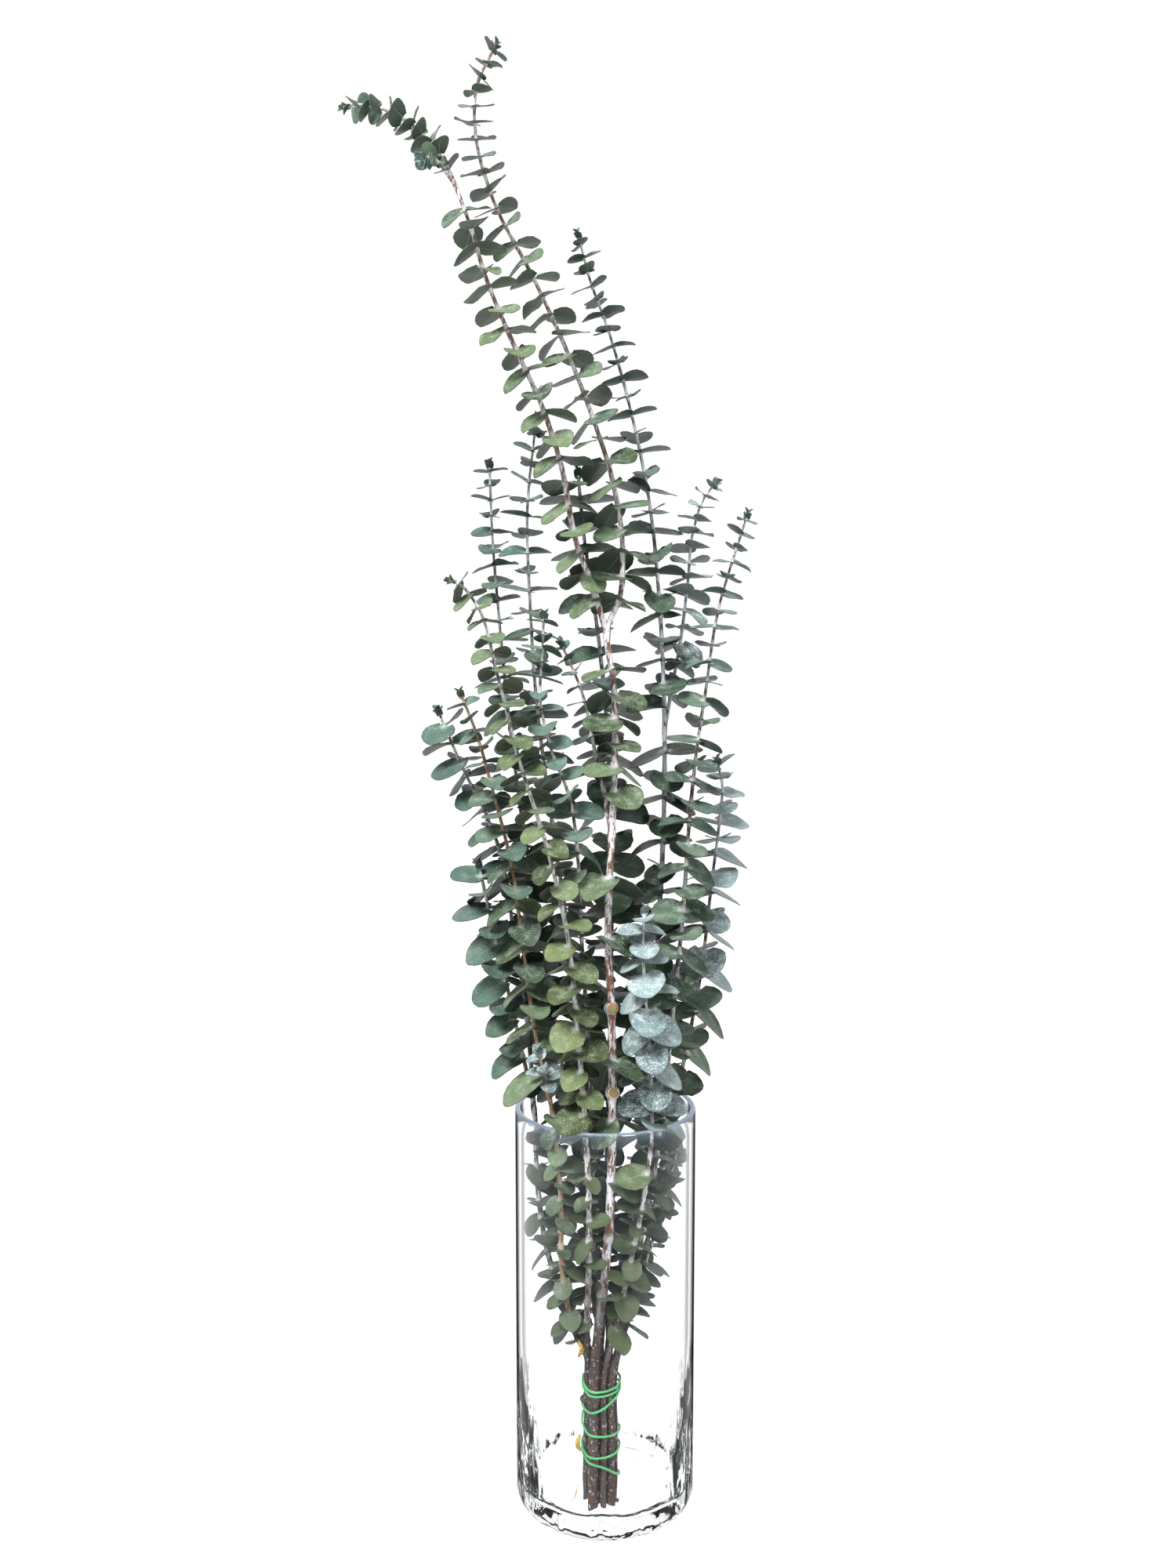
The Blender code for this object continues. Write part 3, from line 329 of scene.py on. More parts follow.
def leafAxes(leaf, attempt):  # root, along, side and up of a blade, with its length
    tiltMore, turnMore, scale = attempt
    tilt = math.radians(leaf["tilt"] + leaf["lift"] + tiltMore)
    out = turned(leaf["out"], leaf["stem"], leaf["turn"] + turnMore)
    along = math.cos(tilt) * out + math.sin(tilt) * leaf["stem"]
    along = unit(along - np.array([0.0, 0.0, leaf["sag"]]))
    side = np.cross(leaf["stem"], out)
    side = unit(side - along * np.dot(side, along))
    facing = np.dot(np.cross(along, np.cross(along, side)), np.array([0.0, -1.0, 0.0]))
    side = turned(side, along, leaf["roll"] + leaf["lean"] * facing)
    return along, side, np.cross(along, side), leaf["size"] * scale


def leafKind(shoot, height):  # some branches have greener leaves below a height
    lowKind, lowTop = shoot.spec.get("low", (None, 0))
    return lowKind if height < lowTop else shoot.spec["leaf"]


def grownLeaves(shoot, corners):
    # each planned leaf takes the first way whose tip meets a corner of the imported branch
    found = []
    for event in shoot.events:
        if event["kind"] != "pair" or not event["grows"]:
            continue
        low = shoot.ring(event["at"] - event["half"], event["twist"])
        high = shoot.ring(event["at"] + event["half"], event["twist"])
        _, tangent, front = shoot.frame(event["at"])
        front = turned(front, tangent, event["twist"])
        side = np.cross(tangent, front)
        faces = (1, 3) if event["odd"] else (0, 2)
        for leaf, k in zip(event["pair"], faces):
            root = np.mean([low[k], low[(k + 1) % 4], high[(k + 1) % 4], high[k]], axis=0)
            leaf.update(root=root, out=(front, side, -front, -side)[k], stem=tangent,
                        sag=0.12 + 0.25 * event["share"],
                        lift=growth["lift"] * np.clip(2 - root[2] / growth["liftTop"], 0.0, 1.0),
                        lean=growth["lean"] * np.clip(root[2] / growth["liftTop"] - 0.7, 0.2, 1.0)
                        * np.clip((growth["leanTop"] - root[2]) / growth["leanFade"], 0.3, 1.0))
            for attempt in leafTries:
                along, side3, up, length = leafAxes(leaf, attempt)
                tip = root + along * length - up * 0.06 * length
                if corners.find(Vector(tip * mm))[2] < 0.02 * mm:
                    found.append(dict(root=root, along=along, side=side3, up=up, length=length,
                                      half=0.5 * length * leaf["width"], cup=leaf["cup"],
                                      share=event["at"] / shoot.length, kind=leafKind(shoot, root[2])))
                    break
    return found


# surfaces: each is worked out on a grid of two parameters and gathered into one piece

def gridFaces(index):  # quads between neighbouring rows and columns of point numbers
    return np.stack([index[..., :-1, :-1], index[..., :-1, 1:], index[..., 1:, 1:],
                     index[..., 1:, :-1]], -1).reshape(-1, 4)


def fan(centre, start, end):  # triangles from a centre point to the edges of a ring
    return np.column_stack([np.full(len(start), centre), start, end])


def closedAround(index):  # the first column again after the last one
    return np.concatenate([index, index[..., :1]], axis=-1)


class Form:  # points in millimetres, faces and point values of one piece
    def __init__(self):
        self.points, self.faces, self.values, self.count = [], [], {}, 0

    def add(self, points, faces, **values):
        shape = points.shape[:-1]
        self.points.append(points.reshape(-1, 3))
        for group in faces:
            self.faces += (group + self.count).tolist()
        for key, value in values.items():
            columns = [np.broadcast_to(part, shape).ravel() for part in value]
            self.values.setdefault(key, []).append(np.stack(columns, -1))
        self.count += len(self.points[-1])

    def piece(self, name, material, slot, replaced=(), crease=50):
        mesh = bpy.data.meshes.new(name)
        mesh.from_pydata((np.concatenate(self.points) * mm).tolist(), [], self.faces)
        for key, parts in self.values.items():
            attribute = mesh.attributes.new(key, "FLOAT_VECTOR", "POINT")
            attribute.data.foreach_set("vector", np.concatenate(parts).astype(np.float32).ravel())
        mesh.shade_smooth()
        mesh.set_sharp_from_angle(angle=math.radians(crease))
        mesh.materials.append(material)
        made = bpy.data.objects.new(name, mesh)
        bpy.context.scene.collection.objects.link(made)
        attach(made, "root")
        if replaced:
            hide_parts(*replaced)


def addTube(form, point, tangent, front, radius, sides, slant=(0.0, 0.0), capRise=0.0, **values):
    # rings about a line: middle + radius x (cos front + sin side), closed by a fan at each end;
    # slant tips the first ring, as an oblique cut does
    angle = np.linspace(0, 2 * np.pi, sides, endpoint=False)
    radius = np.broadcast_to(np.atleast_2d(radius).T if np.ndim(radius) < 2 else radius,
                             (len(point), sides))
    side = np.cross(tangent, front)
    rings = (point[:, None] + (radius * np.cos(angle))[..., None] * front[:, None]
             + (radius * np.sin(angle))[..., None] * side[:, None])
    tip, turn = slant
    rings[0] += (tip * radius[0] * np.cos(angle - turn))[:, None] * tangent[0]
    index = np.arange(rings[..., 0].size).reshape(rings.shape[:2])
    around = closedAround(index)
    count = index.size
    first = fan(count, around[0, 1:], around[0, :-1])
    last = fan(count + 1, around[-1, :-1], around[-1, 1:])
    ends = np.stack([point[0], point[-1] + tangent[-1] * capRise])
    flat = {key: [np.concatenate([np.broadcast_to(part, rings.shape[:2]).ravel(), np.ravel(cap)])
                  for part, cap in value] for key, value in values.items()}
    form.add(np.concatenate([rings.reshape(-1, 3), ends]), [gridFaces(around), first, last], **flat)


# shader maths

def tone(red, green, blue):  # a screen colour, 0 to 255, as the linear colour that shaders take
    share = [value / 255 for value in (red, green, blue)]
    return tuple(s / 12.92 if s <= 0.04045 else ((s + 0.055) / 1.055) ** 2.4 for s in share)


def toned(look):  # a look with its screen colours made linear
    return {key: tone(*value) if isinstance(value, tuple) else value for key, value in look.items()}


class Wire:  # a socket that takes part in sums
    def __init__(self, paint, socket):
        self.paint, self.socket = paint, socket

    def math(self, operation, *others):
        return self.paint.node("Math", dict(operation=operation), dict(enumerate((self, *others))))

    def __add__(self, other):
        return self.math("ADD", other)

    def __sub__(self, other):
        return self.math("SUBTRACT", other)

    def __mul__(self, other):
        return self.math("MULTIPLY", other)

    def __rsub__(self, other):  # other - self, as self x -1 + other
        return self.math("MULTIPLY_ADD", -1.0, other)

    def __abs__(self):
        return self.math("ABSOLUTE")

    __radd__, __rmul__ = __add__, __mul__


class Paint:  # one material, built node by node
    def __init__(self, name, **fixed):
        self.material = bpy.data.materials.new(name)
        self.material.use_nodes = True
        self.tree = self.material.node_tree
        self.shader = self.tree.nodes["Principled BSDF"]
        for key, value in fixed.items():
            socket = self.shader.inputs[key.replace("_", " ")]
            socket.default_value = (*value, 1.0) if isinstance(value, tuple) else value

    def node(self, kind, settings=None, values=None, out=0):  # settings first, then its sockets
        made = self.tree.nodes.new("ShaderNode" + kind)
        for key, value in (settings or {}).items():
            if key == "stops":
                ramp = made.color_ramp.elements
                while len(ramp) < len(value):
                    ramp.new(0.5)
                for stop, (place, colour) in zip(ramp, value):
                    stop.position = place
                    stop.color = (*colour, 1.0)
            else:
                setattr(made, key, value)
        for key, value in (values or {}).items():
            socket = made.inputs[key]
            if isinstance(value, Wire):
                self.tree.links.new(value.socket, socket)
            elif isinstance(value, tuple) and socket.type == "RGBA":
                socket.default_value = (*value, 1.0)
            else:
                socket.default_value = value
        return Wire(self, made.outputs[out])

    def parts(self, key):  # the three numbers of a point value
        vector = self.node("Attribute", dict(attribute_name=key), out="Vector")
        made = self.tree.nodes.new("ShaderNodeSeparateXYZ")
        self.tree.links.new(vector.socket, made.inputs[0])
        return [Wire(self, socket) for socket in made.outputs]

    def place(self, scale=(1, 1, 1)):  # object coordinates, in metres, stretched by a scale
        found = self.node("TexCoord", out="Object")
        return self.node("Mapping", values={"Vector": found, "Scale": scale})

    def height(self):  # above the vase's foot, in metres
        return self.node("SeparateXYZ", values={0: self.place()}, out=2)

    def noise(self, size, detail=2.0, stretch=(1, 1, 1), rough=0.5):  # size of a grain in mm
        return self.node("TexNoise", values={
            "Vector": self.place(stretch), "Scale": 1000 / size, "Detail": detail, "Roughness": rough})

    def step(self, value, low, high):  # smooth rise from 0 to 1 between low and high
        return self.node("MapRange", dict(interpolation_type="SMOOTHSTEP"),
                         {"Value": value, "From Min": low, "From Max": high})

    def mix(self, first, second, share):
        return self.node("Mix", dict(data_type="RGBA"), {0: share, 6: first, 7: second}, out=2)

    def bump(self, height, distance, strength=1.0):
        return self.node("Bump", values={"Height": height, "Distance": distance,
                                                   "Strength": strength})

    def use(self, **sockets):
        for key, wire in sockets.items():
            self.tree.links.new(wire.socket, self.shader.inputs[key.replace("_", " ")])
        return self.material


# leaves

leafShape = dict(rows=(0.0, 0.15, 0.33, 0.53, 0.73, 0.89, 0.98),
                 columns=(-1.0, -0.55, 0.0, 0.55, 1.0),
                 thickness=0.34, sink=0.35, notch=0.11, tipRound=0.03, fold=0.045, ripple=0.02,
                 widest=(0.36, 0.46), blunt=(1.5, 2.2), bend=(-0.07, 0.06), topPairs=2,
                 # the last pair: heights in metres over which the painted shade on low leaves fades out
                 shadeBelow=(0.17, 0.25))

leafLooks = {  # grown blade, its shade, a young blade, the underside, the wax and how much of it
    "olive": dict(top=(108, 128, 92), deep=(48, 66, 46), young=(92, 122, 112),
                  under=(38, 56, 40), bloom=(204, 216, 202), wax=0.4),
    "moss": dict(top=(112, 128, 84), deep=(54, 70, 42), young=(106, 128, 106),
                 under=(50, 58, 42), bloom=(206, 216, 192), wax=0.35),
    "sage": dict(top=(98, 120, 98), deep=(42, 60, 46), young=(104, 134, 126),
                 under=(34, 54, 42), bloom=(192, 210, 200), wax=0.4),
    "deep": dict(top=(72, 94, 74), deep=(32, 48, 36), young=(84, 112, 102),
                 under=(28, 46, 34), bloom=(176, 196, 186), wax=0.35),
    "blue": dict(top=(130, 154, 150), deep=(62, 84, 84), young=(146, 172, 176),
                 under=(76, 90, 88), bloom=(230, 238, 240), wax=0.8),
}


def topLeaves(shoot, wild):  # small leaves that close round the growing tip
    found = []
    for number in range(leafShape["topPairs"]):
        point, tangent, front = shoot.frame(shoot.length - 3.0 + 1.5 * number)
        for half in (0, 180):
            out = turned(front, tangent, 90 * number + half + wild.uniform(-20, 20))
            rise = math.radians(wild.uniform(45, 62) + 10 * number)
            along = math.cos(rise) * out + math.sin(rise) * tangent
            side = unit(np.cross(tangent, out))
            length = wild.uniform(5.0, 7.0) - 1.2 * number
            found.append(dict(root=point + tangent * 0.8 * number, along=along, side=side,
                              up=np.cross(along, side), length=length, half=0.34 * length,
                              cup=0.25, share=1.0, kind=shoot.spec["leaf"]))
    return found


def addLeaves(form, leaves, wild):
    # across: half x width(v), an ellipse up to the widest place and a blunt superellipse past it;
    # along: length x v, drawn back into lobes at the root; up: bend v^2 + cup x^2 + fold |x| + ripple
    shape = leafShape
    count = len(leaves)
    u = np.array(shape["columns"])[None, None, :]
    v = np.array(shape["rows"])[None, :, None]
    length, half, cup, share = [np.array([leaf[key] for leaf in leaves])[:, None, None]
                                for key in ("length", "half", "cup", "share")]
    each = (count, 1, 1)
    widest = wild.uniform(*shape["widest"], each)
    blunt = wild.uniform(*shape["blunt"], each)
    near = np.clip((widest - v) / (widest + 0.06), 0, 1)
    far = np.clip((v - widest) / (1 - widest), 0, 1)
    width = np.sqrt(1 - near**2) * (1 - far**blunt) ** (1 / blunt)
    x = u * width
    y = length * (v - shape["notch"] * u**2 * (1 - v)**3 - shape["tipRound"] * u**2 * v**4)
    z = (length * wild.normal(*shape["bend"], each) * v**2 + 2 * half * cup * x**2
         + length * shape["fold"] * np.abs(x)
         + length * shape["ripple"] * wild.normal(0, 1, each)
         * np.sin(2 * np.pi * (v * 1.2 + wild.uniform(0, 1, each))) * u * np.abs(u))
    root, along, side, up = [np.array([leaf[key] for leaf in leaves])[:, None, None]
                             for key in ("root", "along", "side", "up")]
    blade = (root + along * (y - shape["sink"])[..., None] + side * (x * half)[..., None]
             + up * z[..., None])
    normal = unit(np.cross(np.gradient(blade, axis=1), np.gradient(blade, axis=2)))
    skin = normal * shape["thickness"] / 2
    points = np.stack([blade + skin, blade - skin], axis=1)
    index = np.arange(points[..., 0].size).reshape(points.shape[:-1])
    upper, lower = index[:, 0], index[:, 1]
    rim = [np.concatenate([part[:, 0, :-1], part[:, :-1, -1], part[:, -1, :0:-1], part[:, :0:-1, 0]], 1)
           for part in (upper, lower)]
    rims = np.stack([rim[0], np.roll(rim[0], -1, 1), np.roll(rim[1], -1, 1), rim[1]], -1).reshape(-1, 4)
    under = np.array([0.0, 1.0])[None, :, None, None]
    one = np.ones((count, 2, 1, 1))
    shade, tint = wild.uniform(0, 1, (2, count, 1, 1, 1))
    form.add(points, [gridFaces(upper)[:, ::-1], gridFaces(lower), rims],
             blade=(u[:, None] * one, v[:, None] * one, under),
             growth=(share[:, None] * one, shade, tint))


def leafPaint(name, look):
    paint = Paint(name, Roughness=0.5, IOR=1.4)
    across, along, under = paint.parts("blade")
    share, shade, tint = paint.parts("growth")
    cloud = paint.noise(5.0, 3.0)
    speck = paint.noise(0.8, 2.0, rough=0.6)
    grain = paint.noise(0.5, 1.0)
    vaseShade = 1 - paint.step(paint.height(), *leafShape["shadeBelow"])  # painted shade: leaves low in the vase are darkened
    colour = paint.mix(look["deep"], look["top"], paint.step(shade * 0.8 + cloud * 0.6, 0.22, 1.0))
    colour = paint.mix(colour, look["young"], paint.step(share + tint * 0.25, 0.74, 1.14) * 0.85)
    vein = paint.node("Math", dict(operation="PINGPONG"),
                      {0: along - abs(across) * 0.32, 1: 0.055})
    veins = (1 - paint.step(vein, 0.0, 0.012)) * paint.step(abs(across), 0.02, 0.1) * 0.16
    midrib = (1 - paint.step(abs(across), 0.012, 0.05)) * (1 - along * 0.8)
    wax = paint.step(speck * 0.6 + cloud * 0.4 + (1 - along) * 0.10, 0.60 - 0.14 * look["wax"], 0.70)
    dots = paint.step(grain, 0.64, 0.70) * paint.step(cloud, 0.42, 0.6)
    heart = (1 - paint.step(along + abs(across) * 0.3 - speck * 0.12, 0.0, 0.22)) * 0.9
    bloom = wax * look["wax"]
    pale = bloom.math("MAXIMUM", heart).math("MAXIMUM", midrib * 0.3).math("MAXIMUM", veins)
    colour = paint.mix(colour, look["bloom"], pale.math("MAXIMUM", dots * 0.6))
    # painted shade: a dark olive laid over the leaves low in the vase
    colour = paint.mix(colour, tone(44, 50, 34), vaseShade * 0.6)
    rim = paint.step(abs(across), 0.9, 0.99).math("MAXIMUM", paint.step(along, 0.93, 0.98))
    colour = paint.mix(colour, tone(80, 62, 54), rim * 0.4)
    below = paint.mix(look["under"], look["bloom"], speck * 0.15 + midrib * 0.3)
    colour = paint.mix(colour, below, under)
    relief = speck * 0.5 + cloud * 0.4 + midrib * 0.6 - veins
    return paint.use(Base_Color=colour, Roughness=0.36 + bloom * 0.3 + speck * 0.16,
                     Normal=paint.bump(relief, 0.0004, 0.7))


# stems

stemShape = dict(step=1.5, slim=0.88, sides=12, nodeSwell=0.30, nodeLength=1.3, forkSwell=0.35,
                 forkLength=4.0, footCut=(0.0, 5.5), stubLength=2.2, darkBelow=(0.128, 0.188))

barkLooks = {  # pale wax, the wood under it, dark flecks, and how much of the wax is worn off
    "trunk": dict(wax=(234, 231, 236), wood=(124, 88, 72), fleck=(62, 46, 42), worn=0.58),
    "speckled": dict(wax=(222, 224, 222), wood=(92, 74, 64), fleck=(52, 42, 38), worn=0.55),
    "tan": dict(wax=(190, 172, 148), wood=(148, 108, 74), fleck=(84, 60, 44), worn=0.6),
    "pale": dict(wax=(214, 218, 220), wood=(82, 76, 72), fleck=(50, 44, 42), worn=0.4),
}


def addStem(form, shoot, wild):
    # radius tapers along the line, with a bell-shaped swelling at each leaf pair and fork
    shape = stemShape
    start = wild.uniform(*shape["footCut"]) if shoot.parent is None else 0.0
    at = np.append(np.arange(start, shoot.length, shape["step"]), shoot.length)
    pairs = np.array([event["at"] for event in shoot.events if event["kind"] == "pair"])
    forks = np.array([event["at"] for event in shoot.events if event["kind"] != "pair"] + [-50.0])
    swell = (shape["nodeSwell"] * np.exp(-((at[:, None] - pairs) / shape["nodeLength"]) ** 2).sum(1)
             + shape["forkSwell"] * np.exp(-((at[:, None] - forks) / shape["forkLength"]) ** 2).sum(1))
    near = np.exp(-((at[:, None] - pairs - 0.6) / 2.2) ** 2).max(1)
    uneven = 1 + 0.05 * np.sin(at / 7.0 + wild.uniform(0, 6)) + 0.03 * np.sin(at / 2.3)
    radius = shoot.radius(at) * shape["slim"] * (uneven + swell)
    point, tangent, front = shoot.frames(at)
    slant = (wild.uniform(0.2, 0.9), wild.uniform(0, 6.28)) if shoot.parent is None else (0.0, 0.0)
    addTube(form, point, tangent, front, radius, shape["sides"], slant, capRise=1.5,
            wood=[(0.0, (1.0, 0.0)), (near[:, None], (0.0, 1.0)), (radius[:, None], (2.0, 0.7))],
            growth=[((at / shoot.length)[:, None], (0.0, 1.0)), (wild.uniform(0, 1), (0.5, 0.5)),
                    (0.0, (0.0, 0.0))])


def addStub(form, shoot, event):  # a short straight limb that ends in a flat round cut
    point, tangent, _ = shoot.frame(event["at"])
    aim = event["aim"]
    reach = shoot.radius(event["at"])
    out = np.array([reach + stemShape["stubLength"], reach + 1.9, reach + 0.8, reach * 0.4, 0.0])
    radius = event["radius"] * np.array([0.86, 0.95, 0.95, 1.25, 1.3])
    front = unit(-tangent + aim * np.dot(tangent, aim))
    count = len(out)
    addTube(form, point + out[:, None] * aim, np.tile(-aim, (count, 1)), np.tile(front, (count, 1)),
            radius, 16,
            wood=[(0.0, (2.0, 0.0)), (0.3, (0.0, 0.0)), (2.0, (2.0, 2.0))],
            growth=[(0.3, (0.3, 0.3)), (0.5, (0.5, 0.5)), (0.0, (0.0, 0.0))])


def barkPaint(name, look):
    paint = Paint(name, Roughness=0.6, IOR=1.4)
    core, node, girth = paint.parts("wood")
    share, shade, _ = paint.parts("growth")
    streak = paint.noise(1.8, 5.0, (1, 1, 0.25), 0.7)
    fleck = paint.noise(1.3, 3.0, (1, 1, 0.6), 0.7)
    patch = paint.noise(9.0, 2.0, (1, 1, 0.35))
    worn = look["worn"]
    bare = paint.step(streak * 0.75 + patch * 0.25, 0.58 - 0.2 * worn, 0.62 - 0.16 * worn)
    colour = paint.mix(look["wax"], look["wood"], bare * (1 - node * 0.7))
    colour = paint.mix(colour, look["fleck"], paint.step(fleck, 0.60, 0.66) * (1 - node) * 0.9)
    foot = 1 - paint.step(paint.height() + patch * 0.04, *stemShape["darkBelow"])
    dark = paint.mix(tone(20, 14, 12), tone(84, 57, 46), paint.step(streak, 0.4, 0.6))
    dark = paint.mix(dark, tone(188, 186, 184), paint.step(fleck, 0.6, 0.63) * 0.9)
    colour = paint.mix(colour, dark, foot * 0.94)
    ring = paint.step(core, 0.02, 0.10)
    cut = paint.mix(tone(176, 112, 62), tone(120, 138, 92), paint.step(core, 0.55, 0.85))
    footCut = paint.mix(tone(36, 28, 24), tone(92, 76, 62), paint.step(core, 0.3, 0.8))
    colour = paint.mix(colour, paint.mix(cut, footCut, foot), ring)
    return paint.use(Base_Color=colour, Roughness=0.5 + streak * 0.3,
                     Normal=paint.bump(streak * 0.7 + fleck * 0.5, 0.001, 0.9))


cadTips = {}
for branch in branches:
    mesh = frame["nodes"][branch["name"]].data
    corners = KDTree(len(mesh.vertices))
    for number, vertex in enumerate(mesh.vertices):
        corners.insert(vertex.co, number)
    corners.balance()
    cadTips[branch["name"]] = corners

leafPaints = {kind: leafPaint("leaf_" + kind, toned(look)) for kind, look in leafLooks.items()}
barkPaints = {kind: barkPaint("bark_" + kind, toned(look)) for kind, look in barkLooks.items()}

stems, grown = [], 0
for branch in branches:
    shoots = planShoots(branch)
    stems.append(shoots[0])
    wild = np.random.default_rng(branch["seed"])
    stemForm, leafForms = Form(), {}
    for shoot in shoots:
        ringTwists(shoot)
        addStem(stemForm, shoot, wild)
        for event in shoot.events:
            if event["kind"] == "stub":
                addStub(stemForm, shoot, event)
        leaves = grownLeaves(shoot, cadTips[branch["name"]])
        grown += len(leaves)
        leaves += topLeaves(shoot, wild)
        for kind in sorted({leaf["kind"] for leaf in leaves}):
            chosen = [leaf for leaf in leaves if leaf["kind"] == kind]
            addLeaves(leafForms.setdefault(kind, Form()), chosen, wild)
    stemForm.piece(branch["name"] + "_stem", barkPaints[branch["bark"]], branch["slot"],
                   (branch["name"],))
    for kind, form in leafForms.items():
        form.piece(f"{branch['name']}_{kind}_leaves", leafPaints[kind], branch["slot"])
print("branches:", len(stems), "with", grown, "leaves")


# twine

twine = dict(radius=0.65, gap=0.05, step=0.45, sides=12, plies=3, groove=0.2, layLength=3.4,
             winding=[(-0.30, 85.0), (0.00, 81.5), (0.25, 84.0), (0.50, 84.5), (0.75, 81.5),
                      (1.00, 79.0), (1.25, 81.0), (1.50, 78.5), (1.75, 70.5), (1.92, 70.0),
                      (2.25, 79.5), (2.50, 72.0), (2.75, 61.5), (3.00, 56.5), (3.25, 56.0),
                      (3.50, 53.0), (3.75, 47.5), (4.00, 44.5), (4.25, 46.5), (4.50, 47.0),
                      (4.75, 45.5), (5.00, 39.5), (5.25, 30.0), (5.45, 28.0)])


def twineLine():
    # a ray from the bundle's middle meets the outline at the least of (support - middle.d) / (ray.d),
    # where the support in a direction d is the furthest of the stems' middles plus their radii
    winding = np.array(twine["winding"])
    turns = smoothLine(winding * [40.0, 1.0], 0.5) / [40.0, 1.0]
    turn, height = turns.T
    places = np.stack([[tiePlace(stem.spec, z)[:2] for z in height] for stem in stems], 1)
    middle = np.stack([bundleMiddle(z) for z in height])
    reach = np.stack([stem.radius(height - bundle["footHeight"]) for stem in stems], 1)
    compass = np.linspace(0, 2 * np.pi, 120, endpoint=False)
    around = np.stack([np.sin(compass), -np.cos(compass)])
    support = (places @ around + (reach * stemShape["slim"] * 1.06 + twine["radius"] + twine["gap"])
               [..., None]).max(1)
    ray = np.stack([np.sin(2 * np.pi * turn), -np.cos(2 * np.pi * turn)], -1)
    facing = ray @ around
    room = np.where(facing > 0.05, (support - middle @ around) / np.maximum(facing, 0.05), np.inf)
    path = np.column_stack([middle + ray * room.min(1)[:, None], height])
    return smoothLine(path[::4], twine["step"])


def makeTwine():
    line = twineLine()
    tangent = unit(np.gradient(line, axis=0))
    front = unit(np.cross(tangent, np.cross([0.0, 0.0, 1.0], tangent)))
    along = np.append(0.0, np.cumsum(np.linalg.norm(np.diff(line, axis=0), axis=1)))
    angle = np.linspace(0, 2 * np.pi, twine["sides"], endpoint=False)
    wound = angle - 2 * np.pi * along[:, None] / twine["layLength"]
    lay = np.abs(np.cos(twine["plies"] / 2 * wound))
    radius = twine["radius"] * (1 - twine["groove"] * (1 - lay))
    form = Form()
    addTube(form, line, tangent, front, radius, twine["sides"], capRise=0.3,
            ply=[(lay, (1.0, 1.0)), (along[:, None], (0.0, along[-1])), (0.0, (0.0, 0.0))])
    paint = Paint("mint_fibre", Roughness=0.65, Sheen_Weight=0.3)
    lay, _, _ = paint.parts("ply")
    fibre = paint.noise(0.25, 3.0)
    cloud = paint.noise(4.0)
    # painted shade: darker in the grooves between the plies, lighter on their crowns, broken up by the
    # fibre grain
    lit = paint.step(lay * 0.7 + fibre * 0.4, 0.2, 0.9)
    colour = paint.mix(tone(34, 118, 66), tone(84, 184, 112), lit)
    colour = paint.mix(colour, tone(130, 214, 158), paint.step(cloud, 0.55, 0.75) * 0.4)
    material = paint.use(Base_Color=colour, Normal=paint.bump(fibre, 0.0002, 0.5))
    form.piece("twine_winding", material, "mint_twine", ("twine",), crease=80)
    print("twine:", round(along[-1]), "mm")


makeTwine()


# dry scraps caught at the tie

scraps = {
    "dry_bract_upper": dict(
        points=[(-14.5, -36.0, 102), (-12.8, -37.5, 107), (-14.5, -38.5, 112)], wide=3.8),
    "dry_bract_lower": dict(
        points=[(-13.5, -36.5, 49), (-15.0, -37.5, 54), (-13.5, -38.0, 59)], wide=4.0),
    "bark_splinter": dict(
        points=[(-17.8, -28.0, 12.8), (-16.2, -27.5, 19), (-15.2, -27.0, 25)], wide=0.9),
}


def huskPaint():
    paint = Paint("dry_husk", Roughness=0.75)
    fleck = paint.noise(0.8, 3.0)
    streak = paint.noise(1.2, 3.0, (1, 1, 0.2))
    stops = [(0.3, tone(82, 54, 30)), (0.5, tone(176, 142, 62)), (0.72, tone(226, 200, 112))]
    colour = paint.node("ValToRGB", dict(stops=stops), {0: streak * 0.6 + fleck * 0.4})
    return paint.use(Base_Color=colour, Normal=paint.bump(streak, 0.0004, 0.7))


def makeScraps():
    # a strip along a bent line, its edges curled forward and torn by a ripple, closed all round
    material = huskPaint()
    for number, (name, shape) in enumerate(scraps.items()):
        line = smoothLine(shape["points"], 0.6)
        tangent = unit(np.gradient(line, axis=0))
        front = unit(np.cross(tangent, [1.0, 0.0, 0.0]))
        rows = np.linspace(0, 1, len(line))
        swell = 0.3 + 0.7 * np.sin(np.pi * rows) + 0.12 * np.sin(rows * 23 + number)
        angle = np.linspace(0, 2 * np.pi, 14, endpoint=False)
        curl = 0.25 + 0.75 * np.abs(np.cos(angle)) + 0.15 * np.sin(3 * angle + 4 * rows[:, None])
        form = Form()
        radius = 0.5 * shape["wide"] * swell[:, None] * curl
        addTube(form, line, tangent, front, radius, 14, capRise=0.2)
        form.piece(name + "_husk", material, "dry_bark", (name,), crease=70)


makeScraps()
print("scraps:", len(scraps))


# vase

vaseLow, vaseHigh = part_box("vase")
vase = dict(radius=vaseHigh.x / mm, height=vaseHigh.z / mm, wall=3.0, base=12.0, footRound=10.0,
            floorRound=8.0, rimRound=1.4, turns=160, ripple=0.5, ripples=9, kick=1.5,
            poolHeight=85.0, waveSize=9.0, footFade=14.0,
            edgeShadeFacing=(0.66, 0.84), edgeShade=0.97)


def arc(centre, radius, start, end, count):  # (radius, height) points on an arc, angles in degrees
    angle = np.radians(np.linspace(start, end, count))
    return np.stack([centre[0] + radius * np.cos(angle), centre[1] + radius * np.sin(angle)], -1)


def straight(start, end, count):
    share = np.linspace(0, 1, count + 2)[1:-1, None]
    return np.array(start) * (1 - share) + np.array(end) * share


